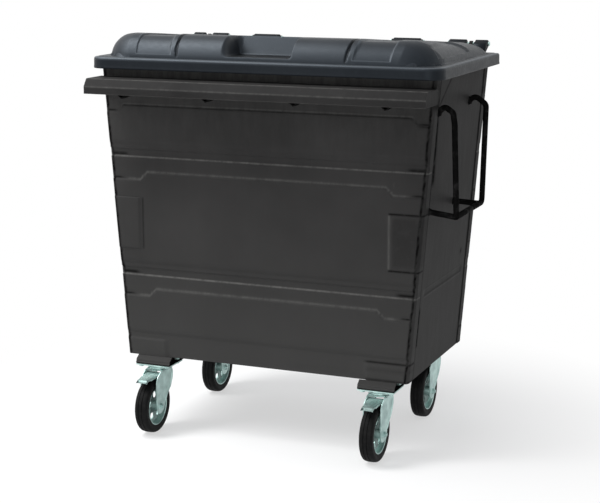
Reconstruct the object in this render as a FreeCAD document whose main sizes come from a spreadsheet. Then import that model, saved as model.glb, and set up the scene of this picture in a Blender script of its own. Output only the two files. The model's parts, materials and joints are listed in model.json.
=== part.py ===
import FreeCAD, Part
import os

import Sketcher

# Four-wheeled pressed-steel waste container with a hinged domed lid.
#
# Millimetres. X runs across the container, Y from front to rear, Z up. The origin is on the ground,
# under the middle of the whole outline. Every size sits in the sheet "Sizes" and every solid is
# bound to it by formulas, written here with {name} for a cell of the sheet.

SIZES = (
    # casters: wheel, tyre and axle
    ("wheel_diameter", 200), ("tyre_width", 50), ("tyre_thickness", 30), ("tread_bevel", 9),
    ("tread_groove_depth", 2.5), ("tread_groove_width", 4), ("tread_groove_spacing", 13),
    ("tyre_seat_gap", 0.3), ("rim_width", 40), ("rim_wall", 3), ("disc_wall", 4), ("hub_diameter", 34),
    ("hub_length", 58), ("lightening_hole", 24), ("axle_diameter", 12), ("running_gap", 0.05),
    ("axle_head_width", 19), ("axle_head_length", 8), ("axle_spare_thread", 4),
    # casters: fork, race, plate and king pin
    ("caster_height", 250), ("caster_trail", 60), ("caster_side_inset", 110),
    ("caster_front_inset", 28), ("caster_rear_inset", 44), ("fork_gap", 60), ("fork_wall", 4),
    ("fork_crown_front", 38), ("fork_crown_rear", 40), ("fork_toe", 27), ("fork_heel", 33),
    ("fork_shoulder_height", 92),
    ("race_diameter", 84), ("race_lip", 3), ("race_height", 13), ("turning_gap", 0.3),
    ("plate_length", 135), ("plate_depth", 110), ("plate_wall", 4), ("bolt_spacing_x", 105),
    ("bolt_spacing_y", 80), ("bolt_diameter", 10), ("bolt_gap", 0.5), ("bolt_head_width", 17),
    ("bolt_head_length", 6.4), ("king_pin_diameter", 14), ("king_pin_head", 24),
    ("king_pin_head_height", 7),
    # brake pedals of the two front casters
    ("pedal_reach", 115), ("pedal_drop", 9), ("pedal_wall", 3), ("pedal_flange", 12),
    ("pedal_pin_diameter", 8), ("pedal_pin_forward", 30), ("pedal_pin_drop", 15),
    ("pedal_side_gap", 0.5),
    # brackets under the floor
    ("bracket_length", 136), ("bracket_height", 30), ("bracket_wall", 4),
    ("bracket_box_depth", 104), ("bracket_rear_inset", 22),
    # body of the container
    ("base_width", 1086), ("top_width", 1261), ("body_height", 1082.5), ("body_depth", 630),
    ("body_offset_y", 20), ("sheet_wall", 2), ("flange_depth", 44),
    ("swage_height", 5), ("floor_wall", 3),
    ("groove_low", 299), ("groove_high", 733), ("groove_width", 28),
    ("lower_field_top", 252), ("middle_field_top", 680), ("upper_field_drop", 160.5),
    ("field_step", 27), ("field_margin", 14), ("field_end_margin", 26), ("lower_step_inset", 120),
    ("middle_step_inset", 118), ("step_run", 28), ("end_pocket_length", 108),
    ("end_pocket_low", 394), ("end_pocket_high", 591), ("end_pocket_height", 4),
    ("foot_length", 158), ("foot_height", 66), ("rim_wall_height", 30), ("rim_cap", 26), ("rim_cap_wall", 4),
    # front lifting rail
    ("rail_drop", 62.5), ("rail_reach", 128), ("rail_shoulder", 20),
    ("rail_shoulder_drop", 27), ("rail_lip", 26), ("rail_wall", 3), ("gusset_drop", 14),
    ("gusset_wall", 4), ("gusset_spacing", 325),
    # side handle
    ("handle_bar", 20), ("handle_reach", 54), ("handle_drop", 126.5), ("handle_height", 370),
    ("handle_setback", 61), ("handle_span_y", 362), ("handle_bend", 30),
    # lid
    ("lid_side_overhang", 25.5), ("lid_front_overhang", 51), ("lid_rear_overhang", 50),
    ("lid_seat_gap", 0.5),
    ("lid_rim_height", 42), ("lid_wall", 5), ("lid_front_corner", 60), ("lid_rear_corner", 8),
    ("dome_side_margin", 44), ("dome_front_margin", 58), ("dome_rear_margin", 62),
    ("dome_shoulder_run", 30), ("dome_shoulder_rise", 53), ("dome_haunch_run", 60),
    ("dome_haunch_rise", 72), ("dome_crown_run", 92), ("dome_height", 79), ("dome_brow_run", 57),
    ("dome_brow_rise", 70), ("dome_front_crown_run", 82), ("dome_rear_run", 60),
    ("dome_rear_rise", 42), ("grip_recess_width", 240), ("grip_recess_setback", 85),
    ("end_recess_width", 137), ("end_recess_inner", 335), ("end_recess_setback", 7),
    ("recess_foot", 12), ("cheek_recess_depth", 9), ("cheek_recess_setback", 52),
    ("cheek_recess_length", 355), ("cheek_recess_low", 20), ("cheek_recess_high", 66),
    # hinge
    ("hinge_setback", 28), ("hinge_rise", 28), ("knuckle_radius", 14), ("hinge_pin_diameter", 10),
    ("hinge_outer_knuckle", 48), ("hinge_inner_knuckle", 67), ("hinge_middle_knuckle", 108),
    ("hinge_outer_gap", 33), ("hinge_outer_inset", 119), ("hinge_middle_x", 288), ("hinge_side_gap", 1.5),
    ("hinge_ear_wall", 5), ("hinge_strap_wall", 8), ("hinge_strap_length", 80),
    ("hinge_notch_margin", 4), ("hinge_root_depth", 34), ("hinge_pin_head", 16),
    ("hinge_pin_head_length", 4),
)

document = FreeCAD.newDocument("wheelie_bin")
sheet = document.addObject("Spreadsheet::Sheet", "Sizes")
for row, (alias, amount) in enumerate(SIZES, start=1):
    sheet.set(f"A{row}", alias)
    sheet.set(f"B{row}", str(amount))
    sheet.setAlias(f"B{row}", alias)
document.recompute()

ACROSS = FreeCAD.Rotation(FreeCAD.Vector(0, 1, 0), 90)
BACKWARD = FreeCAD.Rotation(FreeCAD.Vector(1, 0, 0), -90)
UPRIGHT = FreeCAD.Rotation()
FACING_FRONT = FreeCAD.Rotation(FreeCAD.Vector(1, 0, 0), 90)
FACING_SIDE = FreeCAD.Rotation(FreeCAD.Vector(1, 1, 1), 120)
OVERSHOOT = 1

nodes = []


def formula(text):
    """Turn each {name} of a formula into the sheet's cell of that name."""
    return str(text).replace("{", "Sizes.").replace("}", "")


def bind(thing, **formulas):
    """Bind properties of an object to formulas."""
    for name, text in formulas.items():
        thing.setExpression(name, formula(text))


def put(thing, x=0, y=0, z=0, turn=UPRIGHT):
    """Turn an object and bind its place to three formulas."""
    thing.Placement.Rotation = turn
    for axis, text in (("x", x), ("y", y), ("z", z)):
        thing.setExpression(f"Placement.Base.{axis}", formula(text))
    return thing


def box(name, x, y, z, length, depth, height):
    """Box from its lowest corner and its three sizes."""
    block = document.addObject("Part::Box", name)
    bind(block, Length=length, Width=depth, Height=height)
    return put(block, x, y, z)


def cylinder(name, diameter, length, x=0, y=0, z=0, turn=UPRIGHT):
    """Cylinder whose foot is at the given point and whose axis follows the turn."""
    round_bar = document.addObject("Part::Cylinder", name)
    bind(round_bar, Radius=f"({diameter}) / 2", Height=length)
    return put(round_bar, x, y, z, turn)


def hexagon(name, width, length, x=0, y=0, z=0, turn=UPRIGHT):
    """Six-sided prism by its width across flats."""
    prism = document.addObject("Part::Prism", name)
    prism.Polygon = 6
    bind(prism, Circumradius=f"({width}) / sqrt(3)", Height=length)
    return put(prism, x, y, z, turn)


def outline(name, points, turn):
    """Closed sketch whose corners are all bound to formulas."""
    sketch = document.addObject("Sketcher::SketchObject", name)
    count = len(points)
    ring = Part.makeCircle(100).discretize(count + 1)
    for index in range(count):
        sketch.addGeometry(Part.LineSegment(ring[index], ring[index + 1 if index + 1 < count else 0]))
    for index in range(count):
        sketch.addConstraint(Sketcher.Constraint("Coincident", index, 2, (index + 1) % count, 1))
    for index, corner in enumerate(points):
        start = ring[index]
        for kind, place, text in (("DistanceX", start.x, corner[0]), ("DistanceY", start.y, corner[1])):
            number = sketch.addConstraint(Sketcher.Constraint(kind, -1, 1, index, 1, place))
            sketch.setExpression(f"Constraints[{number}]", formula(text))
    sketch.Placement.Rotation = turn
    return sketch


def extrusion(name, points, turn, direction, length, **place):
    """Solid carried from an outline along a direction of the frame."""
    solid = document.addObject("Part::Extrusion", name)
    solid.Base = outline(name + "_outline", points, turn)
    solid.DirMode = "Custom"
    solid.Dir = direction
    solid.Solid = True
    bind(solid, LengthFwd=length)
    return put(solid, **place)


def across(name, points, x, length):
    """Outline in Y and Z, carried along X from x."""
    return extrusion(name, points, FACING_SIDE, FreeCAD.Vector(1, 0, 0), length, x=x)


def backward(name, points, y, length):
    """Outline in X and Z, carried along Y from y."""
    return extrusion(name, points, FACING_FRONT, FreeCAD.Vector(0, 1, 0), length, y=y)


def join(name, *solids):
    """One solid from several that meet."""
    union = document.addObject("Part::MultiFuse", name)
    union.Shapes = list(solids)
    return union


def trim(name, solid, *tools):
    """A solid less its tools."""
    tool = tools[0] if len(tools) == 1 else join(name + "_tools", *tools)
    rest = document.addObject("Part::Cut", name)
    rest.Base = solid
    rest.Tool = tool
    return rest


def overlap(name, *solids):
    """What several solids share."""
    shared = document.addObject("Part::MultiCommon", name)
    shared.Shapes = list(solids)
    return shared


def group(name, solids):
    """Separate solids kept as one sub-part."""
    bundle = document.addObject("Part::Compound", name)
    bundle.Links = list(solids)
    return bundle


# The handle stands out on the right alone, so the container is moved left by half of what it adds.
OUTLINE_SHIFT = "({lid_side_overhang} / 2 - {handle_bar} / 4 - {handle_reach} / 2)"


def keep(thing, label):
    """Make an object a sub-part under its own label, moved across to centre the whole outline."""
    own_x = "0"
    for path, text in thing.ExpressionEngine:
        if path.endswith("Placement.Base.x"):
            own_x = text
    thing.setExpression("Placement.Base.x", f"{own_x} + {formula(OUTLINE_SHIFT)}")
    thing.Label = label
    nodes.append(thing)


def rounded(name, x, y, z, length, depth, height, front_radius, rear_radius):
    """Upright block with round corners, as a body with a pad and two fillets."""
    body = document.addObject("PartDesign::Body", name)
    sketch = body.newObject("Sketcher::SketchObject", name + "_plan")
    plane = [item for item in body.Origin.OriginFeatures if item.Role == "XY_Plane"][0]
    sketch.AttachmentSupport = [(plane, "")]
    sketch.MapMode = "FlatFace"
    ends = ((0, 0), (1, 0), (1, 1), (0, 1))
    for index in range(4):
        start = ends[index]
        finish = ends[(index + 1) % 4]
        sketch.addGeometry(Part.LineSegment(FreeCAD.Vector(*start, 0), FreeCAD.Vector(*finish, 0)))
    for index in range(4):
        sketch.addConstraint(Sketcher.Constraint("Coincident", index, 2, (index + 1) % 4, 1))
    for index, (right, far) in enumerate(ends):
        for kind, datum, text in (("DistanceX", right, f"({right}) * ({length})"),
                                  ("DistanceY", far, f"({far}) * ({depth})")):
            number = sketch.addConstraint(Sketcher.Constraint(kind, -1, 1, index, 1, datum))
            sketch.setExpression(f"Constraints[{number}]", formula(text))
    pad = body.newObject("PartDesign::Pad", name + "_pad")
    pad.Profile = sketch
    bind(pad, Length=height)
    document.recompute()
    last = pad
    for end, radius, at_front in (("front", front_radius, True), ("rear", rear_radius, False)):
        middle = last.Shape.BoundBox.Center.y
        chosen = []
        for number, edge in enumerate(last.Shape.Edges, start=1):
            upright = edge.BoundBox.XLength < OVERSHOOT and edge.BoundBox.YLength < OVERSHOOT
            if upright and (edge.BoundBox.Center.y < middle) == at_front:
                chosen.append(f"Edge{number}")
        fillet = body.newObject("PartDesign::Fillet", f"{name}_{end}_corners")
        fillet.Base = (last, chosen)
        bind(fillet, Radius=radius)
        document.recompute()
        last = fillet
    body.Tip = last
    return put(body, x, y, z)


# ---- levels and faces that several pieces share ------------------------------------------------

BASE_Z = "({caster_height} + {bracket_height})"
TOP_Z = f"({BASE_Z} + {{body_height}})"
FRONT_Y = "({body_offset_y} - {body_depth} / 2)"
REAR_Y = "({body_offset_y} + {body_depth} / 2)"
SLOPE = "(({top_width} - {base_width}) / 2 / {body_height})"


def half_width(z, inset="0"):
    """Half of the body's width at a height, less an inset."""
    return f"({{base_width}} / 2 + (({z}) - {BASE_Z}) * {SLOPE} - ({inset}))"


def flared(z_low, z_high, inset):
    """Corners of the body's outline, seen from the front, between two heights."""
    low = half_width(z_low, inset)
    high = half_width(z_high, inset)
    return [(f"-{low}", z_low), (low, z_low), (high, z_high), (f"-{high}", z_high)]


# ---- pressed front and rear panels -------------------------------------------------------------

def pressed_panel(side, face_y, outward):
    """U-shaped pressing: a flared panel with swaged fields, its two ends turned onto the sides.

    face_y is the panel's outer plane and outward is -1 at the front and 1 at the rear.
    """
    def slab(name, points, out_from, out_to):
        """Solid between two distances out of the panel's plane; inward distances are negative."""
        start = out_from if outward > 0 else out_to
        y = f"{face_y} + ({outward}) * ({start})"
        return backward(f"{side}_{name}", points, y, f"({out_to}) - ({out_from})")

    def stepped(top, low, step_inset, inset):
        """Field with a raised middle: low ends, a slope at each side, and the middle's top edge."""
        base = f"{BASE_Z} + {low} + ({inset})"
        crown = f"{BASE_Z} + {top} - ({inset})"
        shoulder = f"{crown} - {{field_step}}"
        foot_x = half_width(base, f"{{field_end_margin}} + ({inset})")
        end_x = half_width(shoulder, f"{{field_end_margin}} + ({inset})")
        turn_x = half_width(shoulder, f"{{field_end_margin}} + {step_inset} + ({inset})")
        top_x = f"({turn_x} - {{step_run}})"
        right = [(foot_x, base), (end_x, shoulder), (turn_x, shoulder), (top_x, crown)]
        return right + [(f"-{x}", z) for x, z in reversed(right)]

    def plain(low, high, inner, outer_inset, inset, hand):
        """Field between two heights, from an inner distance out to the body's slope."""
        base = f"{BASE_Z} + {low} + ({inset})"
        crown = f"{BASE_Z} + {high} - ({inset})"
        low_x = half_width(base, f"{outer_inset} + ({inset})")
        high_x = half_width(crown, f"{outer_inset} + ({inset})")
        near_x = f"({inner} + ({inset}))"
        corners = [(near_x, base), (low_x, base), (high_x, crown), (near_x, crown)]
        if hand > 0:
            return corners
        return [(f"-{x}", z) for x, z in reversed(corners)]

    def band(low, height, extra):
        """Groove across the whole panel."""
        base = f"{BASE_Z} + {low} - ({extra})"
        crown = f"{BASE_Z} + {low} + {height} + ({extra})"
        return flared(base, crown, f"0 - {OVERSHOOT}")

    wall = "{sheet_wall}"
    pocket_inner = f"({half_width(f'{BASE_Z} + {{end_pocket_low}}', '{end_pocket_length}')})"
    foot_inner = f"({half_width(BASE_Z, '{foot_length}')})"
    fields = {
        "lower_field": lambda inset: stepped("{lower_field_top}", "{foot_height} + {field_margin}",
                                             "{lower_step_inset}", inset),
        "middle_field": lambda inset: stepped("{middle_field_top}",
                                              "{groove_low} + {groove_width} + {field_margin}",
                                              "{middle_step_inset}", inset),
        "upper_field": lambda inset: stepped("({body_height} - {upper_field_drop})",
                                             "{groove_high} + {groove_width} + {field_margin}",
                                             "{middle_step_inset}", inset),
    }
    hands = (("left", -1), ("right", 1))
    skin = [slab("blank", flared(BASE_Z, TOP_Z, "0"), "-{flange_depth}", "0")]
    hollow = [slab("blank_inside", flared(f"{BASE_Z} - {OVERSHOOT}", f"{TOP_Z} + {OVERSHOOT}", wall),
                   f"-{{flange_depth}} - {OVERSHOOT}", f"-{wall}")]
    for name, shape in fields.items():
        skin.append(slab(name, shape("0"), f"-{wall}", "{swage_height}"))
        hollow.append(slab(f"{name}_inside", shape(wall), f"-{wall} - {OVERSHOOT}",
                           f"{{swage_height}} - {wall}"))
    for word, hand in hands:
        pocket = ("{end_pocket_low}", "{end_pocket_high}", pocket_inner, "0")
        pocket_out = "({swage_height} + {end_pocket_height})"
        skin.append(slab(f"{word}_pocket", plain(*pocket, "0", hand), f"-{wall}", pocket_out))
        hollow.append(slab(f"{word}_pocket_inside", plain(*pocket, wall, hand),
                           f"-{wall} - {OVERSHOOT}", f"{pocket_out} - {wall}"))
        foot = ("0", "{foot_height}", foot_inner, "0")
        skin.append(slab(f"{word}_foot", plain(*foot, "0", hand), f"-{wall}", "{swage_height}"))
        hollow.append(slab(f"{word}_foot_inside", plain(*foot, wall, hand), f"-{wall} - {OVERSHOOT}",
                           f"{{swage_height}} - {wall}"))
    grooves = []
    backs = []
    for word, low in (("low", "{groove_low}"), ("high", "{groove_high}")):
        grooves.append(slab(f"{word}_groove", band(low, "{groove_width}", "0"), "-{swage_height}",
                            f"{OVERSHOOT}"))
        backs.append(slab(f"{word}_groove_back", band(low, "{groove_width}", wall),
                          f"-{{swage_height}} - {wall}", f"-{wall} + {OVERSHOOT}"))
    full = trim(f"{side}_skin", join(f"{side}_blocks", *skin), *grooves)
    space = trim(f"{side}_space", join(f"{side}_spaces", *hollow), *backs)
    keep(trim(f"{side}_pressing", full, space), f"{side}_panel")


pressed_panel("front", FRONT_Y, -1)
pressed_panel("rear", REAR_Y, 1)


# ---- sides, floor and mouth --------------------------------------------------------------------

def side_panel(side, hand):
    """Flared side, lapped inside the turned ends of the front and rear panels."""
    corners = []
    for z, inset in ((BASE_Z, "{sheet_wall}"), (TOP_Z, "{sheet_wall}"),
                     (TOP_Z, "2 * {sheet_wall}"), (BASE_Z, "2 * {sheet_wall}")):
        corners.append((f"{hand} * {half_width(z, inset)}", z))
    plate = backward(f"{side}_plate", corners, f"{FRONT_Y} + {{sheet_wall}} + {{swage_height}}",
                     "{body_depth} - 2 * {sheet_wall} - 2 * {swage_height}")
    keep(plate, f"{side}_side_panel")


side_panel("left", -1)
side_panel("right", 1)

FLOOR_HALF = half_width(BASE_Z, "2 * {sheet_wall}")
INNER_DEPTH = "({body_depth} - 2 * {sheet_wall} - 2 * {swage_height})"
INNER_FRONT = f"({FRONT_Y} + {{sheet_wall}} + {{swage_height}})"
keep(box("floor_plate", f"-{FLOOR_HALF}", f"{FRONT_Y} + {{sheet_wall}}", BASE_Z, f"2 * {FLOOR_HALF}",
         "{body_depth} - 2 * {sheet_wall}", "{floor_wall}"), "floor_pan")

# Steel angle round the mouth: a cap over the panels' top edges and a leg inside them.
RIM_LOW = f"({TOP_Z} - {{rim_wall_height}})"
RIM_TOP = f"({TOP_Z} + {{rim_cap_wall}})"
RIM_INSET = "(2 * {sheet_wall})"
rim_cap = box("rim_cap_block", f"-{{top_width}} / 2", FRONT_Y, TOP_Z, "{top_width}", "{body_depth}",
              "{rim_cap_wall}")
rim_leg = backward("rim_leg_block", flared(RIM_LOW, TOP_Z, RIM_INSET), INNER_FRONT, INNER_DEPTH)
rim_opening = box("rim_opening", "-{top_width} / 2 + {rim_cap}", f"{FRONT_Y} + {{rim_cap}}",
                  f"{TOP_Z} - {OVERSHOOT}", "{top_width} - 2 * {rim_cap}",
                  "{body_depth} - 2 * {rim_cap}", f"{{rim_cap_wall}} + 2 * {OVERSHOOT}")
rim_bore = backward("rim_bore", flared(f"{RIM_LOW} - {OVERSHOOT}", TOP_Z,
                                       f"{RIM_INSET} + {{rim_cap_wall}}"),
                    f"{INNER_FRONT} + {{rim_cap_wall}}", f"{INNER_DEPTH} - 2 * {{rim_cap_wall}}")
keep(trim("rim_ring", join("rim_blocks", rim_cap, rim_leg), rim_opening, rim_bore), "mouth_rim")


# ---- front lifting rail ------------------------------------------------------------------------

RAIL_LIP_Y = f"({FRONT_Y} - {{rail_reach}})"
RAIL_EDGE_Y = f"({RAIL_LIP_Y} + {{rail_shoulder}})"
RAIL_TOP_Z = f"({TOP_Z} - {{rail_drop}})"
RAIL_TURN_Z = f"({RAIL_TOP_Z} - {{rail_shoulder_drop}})"
RAIL_LOW_Z = f"({RAIL_TURN_Z} - {{rail_lip}})"
rail_section = [
    (FRONT_Y, RAIL_TOP_Z), (RAIL_EDGE_Y, RAIL_TOP_Z), (RAIL_LIP_Y, RAIL_TURN_Z),
    (RAIL_LIP_Y, RAIL_LOW_Z), (f"{RAIL_LIP_Y} + {{rail_wall}}", RAIL_LOW_Z),
    (f"{RAIL_LIP_Y} + {{rail_wall}}", f"{RAIL_TURN_Z} - {{rail_wall}} / 4"),
    (f"{RAIL_EDGE_Y} + {{rail_wall}} / 2", f"{RAIL_TOP_Z} - {{rail_wall}}"),
    (FRONT_Y, f"{RAIL_TOP_Z} - {{rail_wall}}"),
]
keep(across("rail_sheet", rail_section, "-{top_width} / 2", "{top_width}"), "lifting_rail")

web = [
    (FRONT_Y, f"{RAIL_TOP_Z} - {{rail_wall}}"),
    (f"{RAIL_EDGE_Y} + {{rail_wall}} / 2", f"{RAIL_TOP_Z} - {{rail_wall}}"),
    (f"{RAIL_LIP_Y} + {{rail_wall}}", f"{RAIL_TURN_Z} - {{rail_wall}} / 4"),
    (f"{RAIL_LIP_Y} + {{rail_wall}}", RAIL_LOW_Z),
    (f"{FRONT_Y} - {{rail_reach}} / 2", f"{RAIL_LOW_Z} - {{gusset_drop}}"),
    (FRONT_Y, RAIL_LOW_Z),
]
webs = []
for number, step in enumerate((-1.5, -0.5, 0.5, 1.5), start=1):
    webs.append(across(f"rail_web_{number}", web, f"({step}) * {{gusset_spacing}} - {{gusset_wall}} / 2",
                       "{gusset_wall}"))
keep(group("rail_webs", webs), "rail_gussets")
end_plate = web[:4] + web[5:]
for side, x in (("left", "-{top_width} / 2"), ("right", "{top_width} / 2 - {gusset_wall}")):
    keep(across(f"{side}_rail_end", end_plate, x, "{gusset_wall}"), f"rail_end_plate_{side}")


# ---- brackets that carry the casters -----------------------------------------------------------

CORNERS = (
    ("front_left", -1, -1), ("front_right", 1, -1), ("rear_left", -1, 1), ("rear_right", 1, 1),
)


def swivel_x(hand):
    """Place of a caster's swivel axis across the container."""
    return f"({hand} * ({{base_width}} / 2 - {{caster_side_inset}}))"


def swivel_y(end):
    """Place of a caster's swivel axis along the container."""
    if end < 0:
        return f"({FRONT_Y} + {{caster_front_inset}})"
    return f"({REAR_Y} - {{caster_rear_inset}})"


def bolt_places(hand, end):
    """The four bolt places of a caster's plate."""
    places = []
    for right in (-1, 1):
        for far in (-1, 1):
            places.append((f"{swivel_x(hand)} + ({right}) * {{bolt_spacing_x}} / 2",
                           f"{swivel_y(end)} + ({far}) * {{bolt_spacing_y}} / 2"))
    return places


def caster_bracket(corner, hand, end):
    """Channel across the corner, open at its ends, whose base runs on as a lip under the plate."""
    start = f"({swivel_x(hand)} - {{bracket_length}} / 2)"
    low = "{caster_height}"
    plate_edge = f"({swivel_y(end)} + ({end}) * {{plate_depth}} / 2)"
    if end < 0:
        web_front = FRONT_Y
        web_rear = f"({FRONT_Y} + {{bracket_box_depth}} - {{bracket_wall}})"
        base_y = plate_edge
        base_depth = f"{FRONT_Y} + {{bracket_box_depth}} - {plate_edge}"
    else:
        web_front = f"({REAR_Y} - {{bracket_box_depth}})"
        web_rear = f"({REAR_Y} - {{bracket_rear_inset}})"
        base_y = web_front
        base_depth = f"{plate_edge} - {web_front}"
    base = box(f"{corner}_bracket_base", start, base_y, low, "{bracket_length}", base_depth,
               "{bracket_wall}")
    webs = []
    for word, y in (("front", web_front), ("rear", web_rear)):
        webs.append(box(f"{corner}_bracket_{word}", start, y, low, "{bracket_length}",
                        "{bracket_wall}", "{bracket_height}"))
    holes = []
    for number, (x, y) in enumerate(bolt_places(hand, end), start=1):
        holes.append(cylinder(f"{corner}_bracket_hole_{number}", "{bolt_diameter} + 2 * {bolt_gap}",
                              f"{{bracket_wall}} + 2 * {OVERSHOOT}", x, y, f"{low} - {OVERSHOOT}"))
    body = join(f"{corner}_channel", base, *webs)
    keep(trim(f"{corner}_bracket", body, *holes), f"caster_bracket_{corner}")


for corner, hand, end in CORNERS:
    caster_bracket(corner, hand, end)


# ---- casters -----------------------------------------------------------------------------------

PLATE_LOW = "({caster_height} - {plate_wall})"
CROWN_TOP = f"({PLATE_LOW} - {{race_height}} - {{turning_gap}})"
CROWN_LOW = f"({CROWN_TOP} - {{fork_wall}})"
AXLE_Z = "({wheel_diameter} / 2)"
FORK_HALF = "({fork_gap} / 2 + {fork_wall})"


def caster_plate(corner, hand, end):
    """Top plate with the upper half of the ball race pressed into it."""
    x = swivel_x(hand)
    y = swivel_y(end)
    plate = box(f"{corner}_plate_block", f"{x} - {{plate_length}} / 2", f"{y} - {{plate_depth}} / 2",
                PLATE_LOW, "{plate_length}", "{plate_depth}", "{plate_wall}")
    collar = cylinder(f"{corner}_race", "{race_diameter}", "{race_height}", x, y,
                      f"{PLATE_LOW} - {{race_height}}")
    waist = cylinder(f"{corner}_race_waist", "{race_diameter}", "{race_height} / 3", x, y,
                     f"{PLATE_LOW} - 2 * {{race_height}} / 3")
    core = cylinder(f"{corner}_race_core", "{race_diameter} - 2 * {race_lip}", "{race_height} / 3", x, y,
                    f"{PLATE_LOW} - 2 * {{race_height}} / 3")
    ring = trim(f"{corner}_race_cut", waist, core)
    bore = cylinder(f"{corner}_plate_bore", "{king_pin_diameter} + 2 * {running_gap}",
                    f"{{race_height}} + {{plate_wall}} + 2 * {OVERSHOOT}", x, y,
                    f"{PLATE_LOW} - {{race_height}} - {OVERSHOOT}")
    holes = []
    for number, (hole_x, hole_y) in enumerate(bolt_places(hand, end), start=1):
        holes.append(cylinder(f"{corner}_plate_hole_{number}", "{bolt_diameter} + 2 * {bolt_gap}",
                              f"{{plate_wall}} + 2 * {OVERSHOOT}", hole_x, hole_y,
                              f"{PLATE_LOW} - {OVERSHOOT}"))
    blank = join(f"{corner}_plate_blank", plate, collar)
    keep(trim(f"{corner}_plate", blank, ring, bore, *holes), f"caster_plate_{corner}")


def king_pin(corner, hand, end):
    """Pin through plate, race and crown, with its head under the crown."""
    x = swivel_x(hand)
    y = swivel_y(end)
    head_top = f"({CROWN_LOW} - {{turning_gap}})"
    shank = cylinder(f"{corner}_pin_shank", "{king_pin_diameter}", f"{{caster_height}} - {head_top}",
                     x, y, head_top)
    head = cylinder(f"{corner}_pin_head", "{king_pin_head}", "{king_pin_head_height}", x, y,
                    f"{head_top} - {{king_pin_head_height}}")
    keep(join(f"{corner}_pin", shank, head), f"king_pin_{corner}")


def fork(corner, hand, end, braked):
    """Pressed fork: a round-ended crown and two cheeks that lead to the axle."""
    x = swivel_x(hand)
    y = swivel_y(end)
    axle_y = f"({y} - {{caster_trail}})"
    cheek = [
        (f"{y} + {{fork_crown_rear}}", CROWN_TOP), (f"{y} - {{fork_crown_front}}", CROWN_TOP),
        (f"{axle_y} - {{fork_toe}}", f"{AXLE_Z} + {{fork_shoulder_height}}"),
        (f"{axle_y} - {{fork_toe}}", f"{AXLE_Z} - {{fork_toe}} / 2"),
        (f"{axle_y} - {{fork_toe}} / 2", f"{AXLE_Z} - {{fork_toe}}"),
        (f"{axle_y} + {{fork_heel}} / 2", f"{AXLE_Z} - {{fork_toe}}"),
        (f"{axle_y} + {{fork_heel}}", f"{AXLE_Z} - {{fork_toe}} / 2"),
        (f"{y} + {{fork_crown_rear}}", f"{AXLE_Z} + {{fork_shoulder_height}} * 0.75"),
    ]
    parts = []
    for word, start in (("left", f"{x} - {FORK_HALF}"), ("right", f"{x} + {{fork_gap}} / 2")):
        parts.append(across(f"{corner}_cheek_{word}", cheek, start, "{fork_wall}"))
    parts.append(box(f"{corner}_crown", f"{x} - {FORK_HALF}", f"{y} - {{fork_crown_front}}", CROWN_LOW,
                     f"2 * {FORK_HALF}", "{fork_crown_front} + {fork_crown_rear}", "{fork_wall}"))
    tools = [cylinder(f"{corner}_crown_bore", "{king_pin_diameter} + 2 * {running_gap}",
                      f"{{fork_wall}} + 2 * {OVERSHOOT}", x, y, f"{CROWN_LOW} - {OVERSHOOT}"),
             cylinder(f"{corner}_axle_bore", "{axle_diameter} + 2 * {running_gap}",
                      f"2 * {FORK_HALF} + 2 * {OVERSHOOT}", f"{x} - {FORK_HALF} - {OVERSHOOT}",
                      axle_y, AXLE_Z, ACROSS)]
    if braked:
        tools.append(cylinder(f"{corner}_pedal_bore", "{pedal_pin_diameter} + 2 * {running_gap}",
                              f"2 * {FORK_HALF} + 2 * {OVERSHOOT}",
                              f"{x} - {FORK_HALF} - {OVERSHOOT}", f"{y} - {{pedal_pin_forward}}",
                              f"{CROWN_LOW} - {{pedal_pin_drop}}", ACROSS))
    keep(trim(f"{corner}_fork", join(f"{corner}_fork_blank", *parts), *tools), f"fork_{corner}")


def axle(corner, hand, end):
    """Axle bolt with its head on the left cheek, and the nut on the right cheek."""
    x = swivel_x(hand)
    y = f"({swivel_y(end)} - {{caster_trail}})"
    head = hexagon(f"{corner}_axle_head", "{axle_head_width}", "{axle_head_length}",
                   f"{x} - {FORK_HALF} - {{axle_head_length}}", y, AXLE_Z, ACROSS)
    shank = cylinder(f"{corner}_axle_shank", "{axle_diameter}",
                     f"2 * {FORK_HALF} + {{axle_head_length}} + {{axle_spare_thread}}",
                     f"{x} - {FORK_HALF}", y, AXLE_Z, ACROSS)
    keep(join(f"{corner}_axle_bolt", head, shank), f"axle_bolt_{corner}")
    nut = hexagon(f"{corner}_nut_block", "{axle_head_width}", "{axle_head_length}",
                  f"{x} + {FORK_HALF}", y, AXLE_Z, ACROSS)
    bore = cylinder(f"{corner}_nut_bore", "{axle_diameter} + 2 * {running_gap}",
                    f"{{axle_head_length}} + 2 * {OVERSHOOT}", f"{x} + {FORK_HALF} - {OVERSHOOT}",
                    y, AXLE_Z, ACROSS)
    keep(trim(f"{corner}_nut", nut, bore), f"axle_nut_{corner}")


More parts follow.
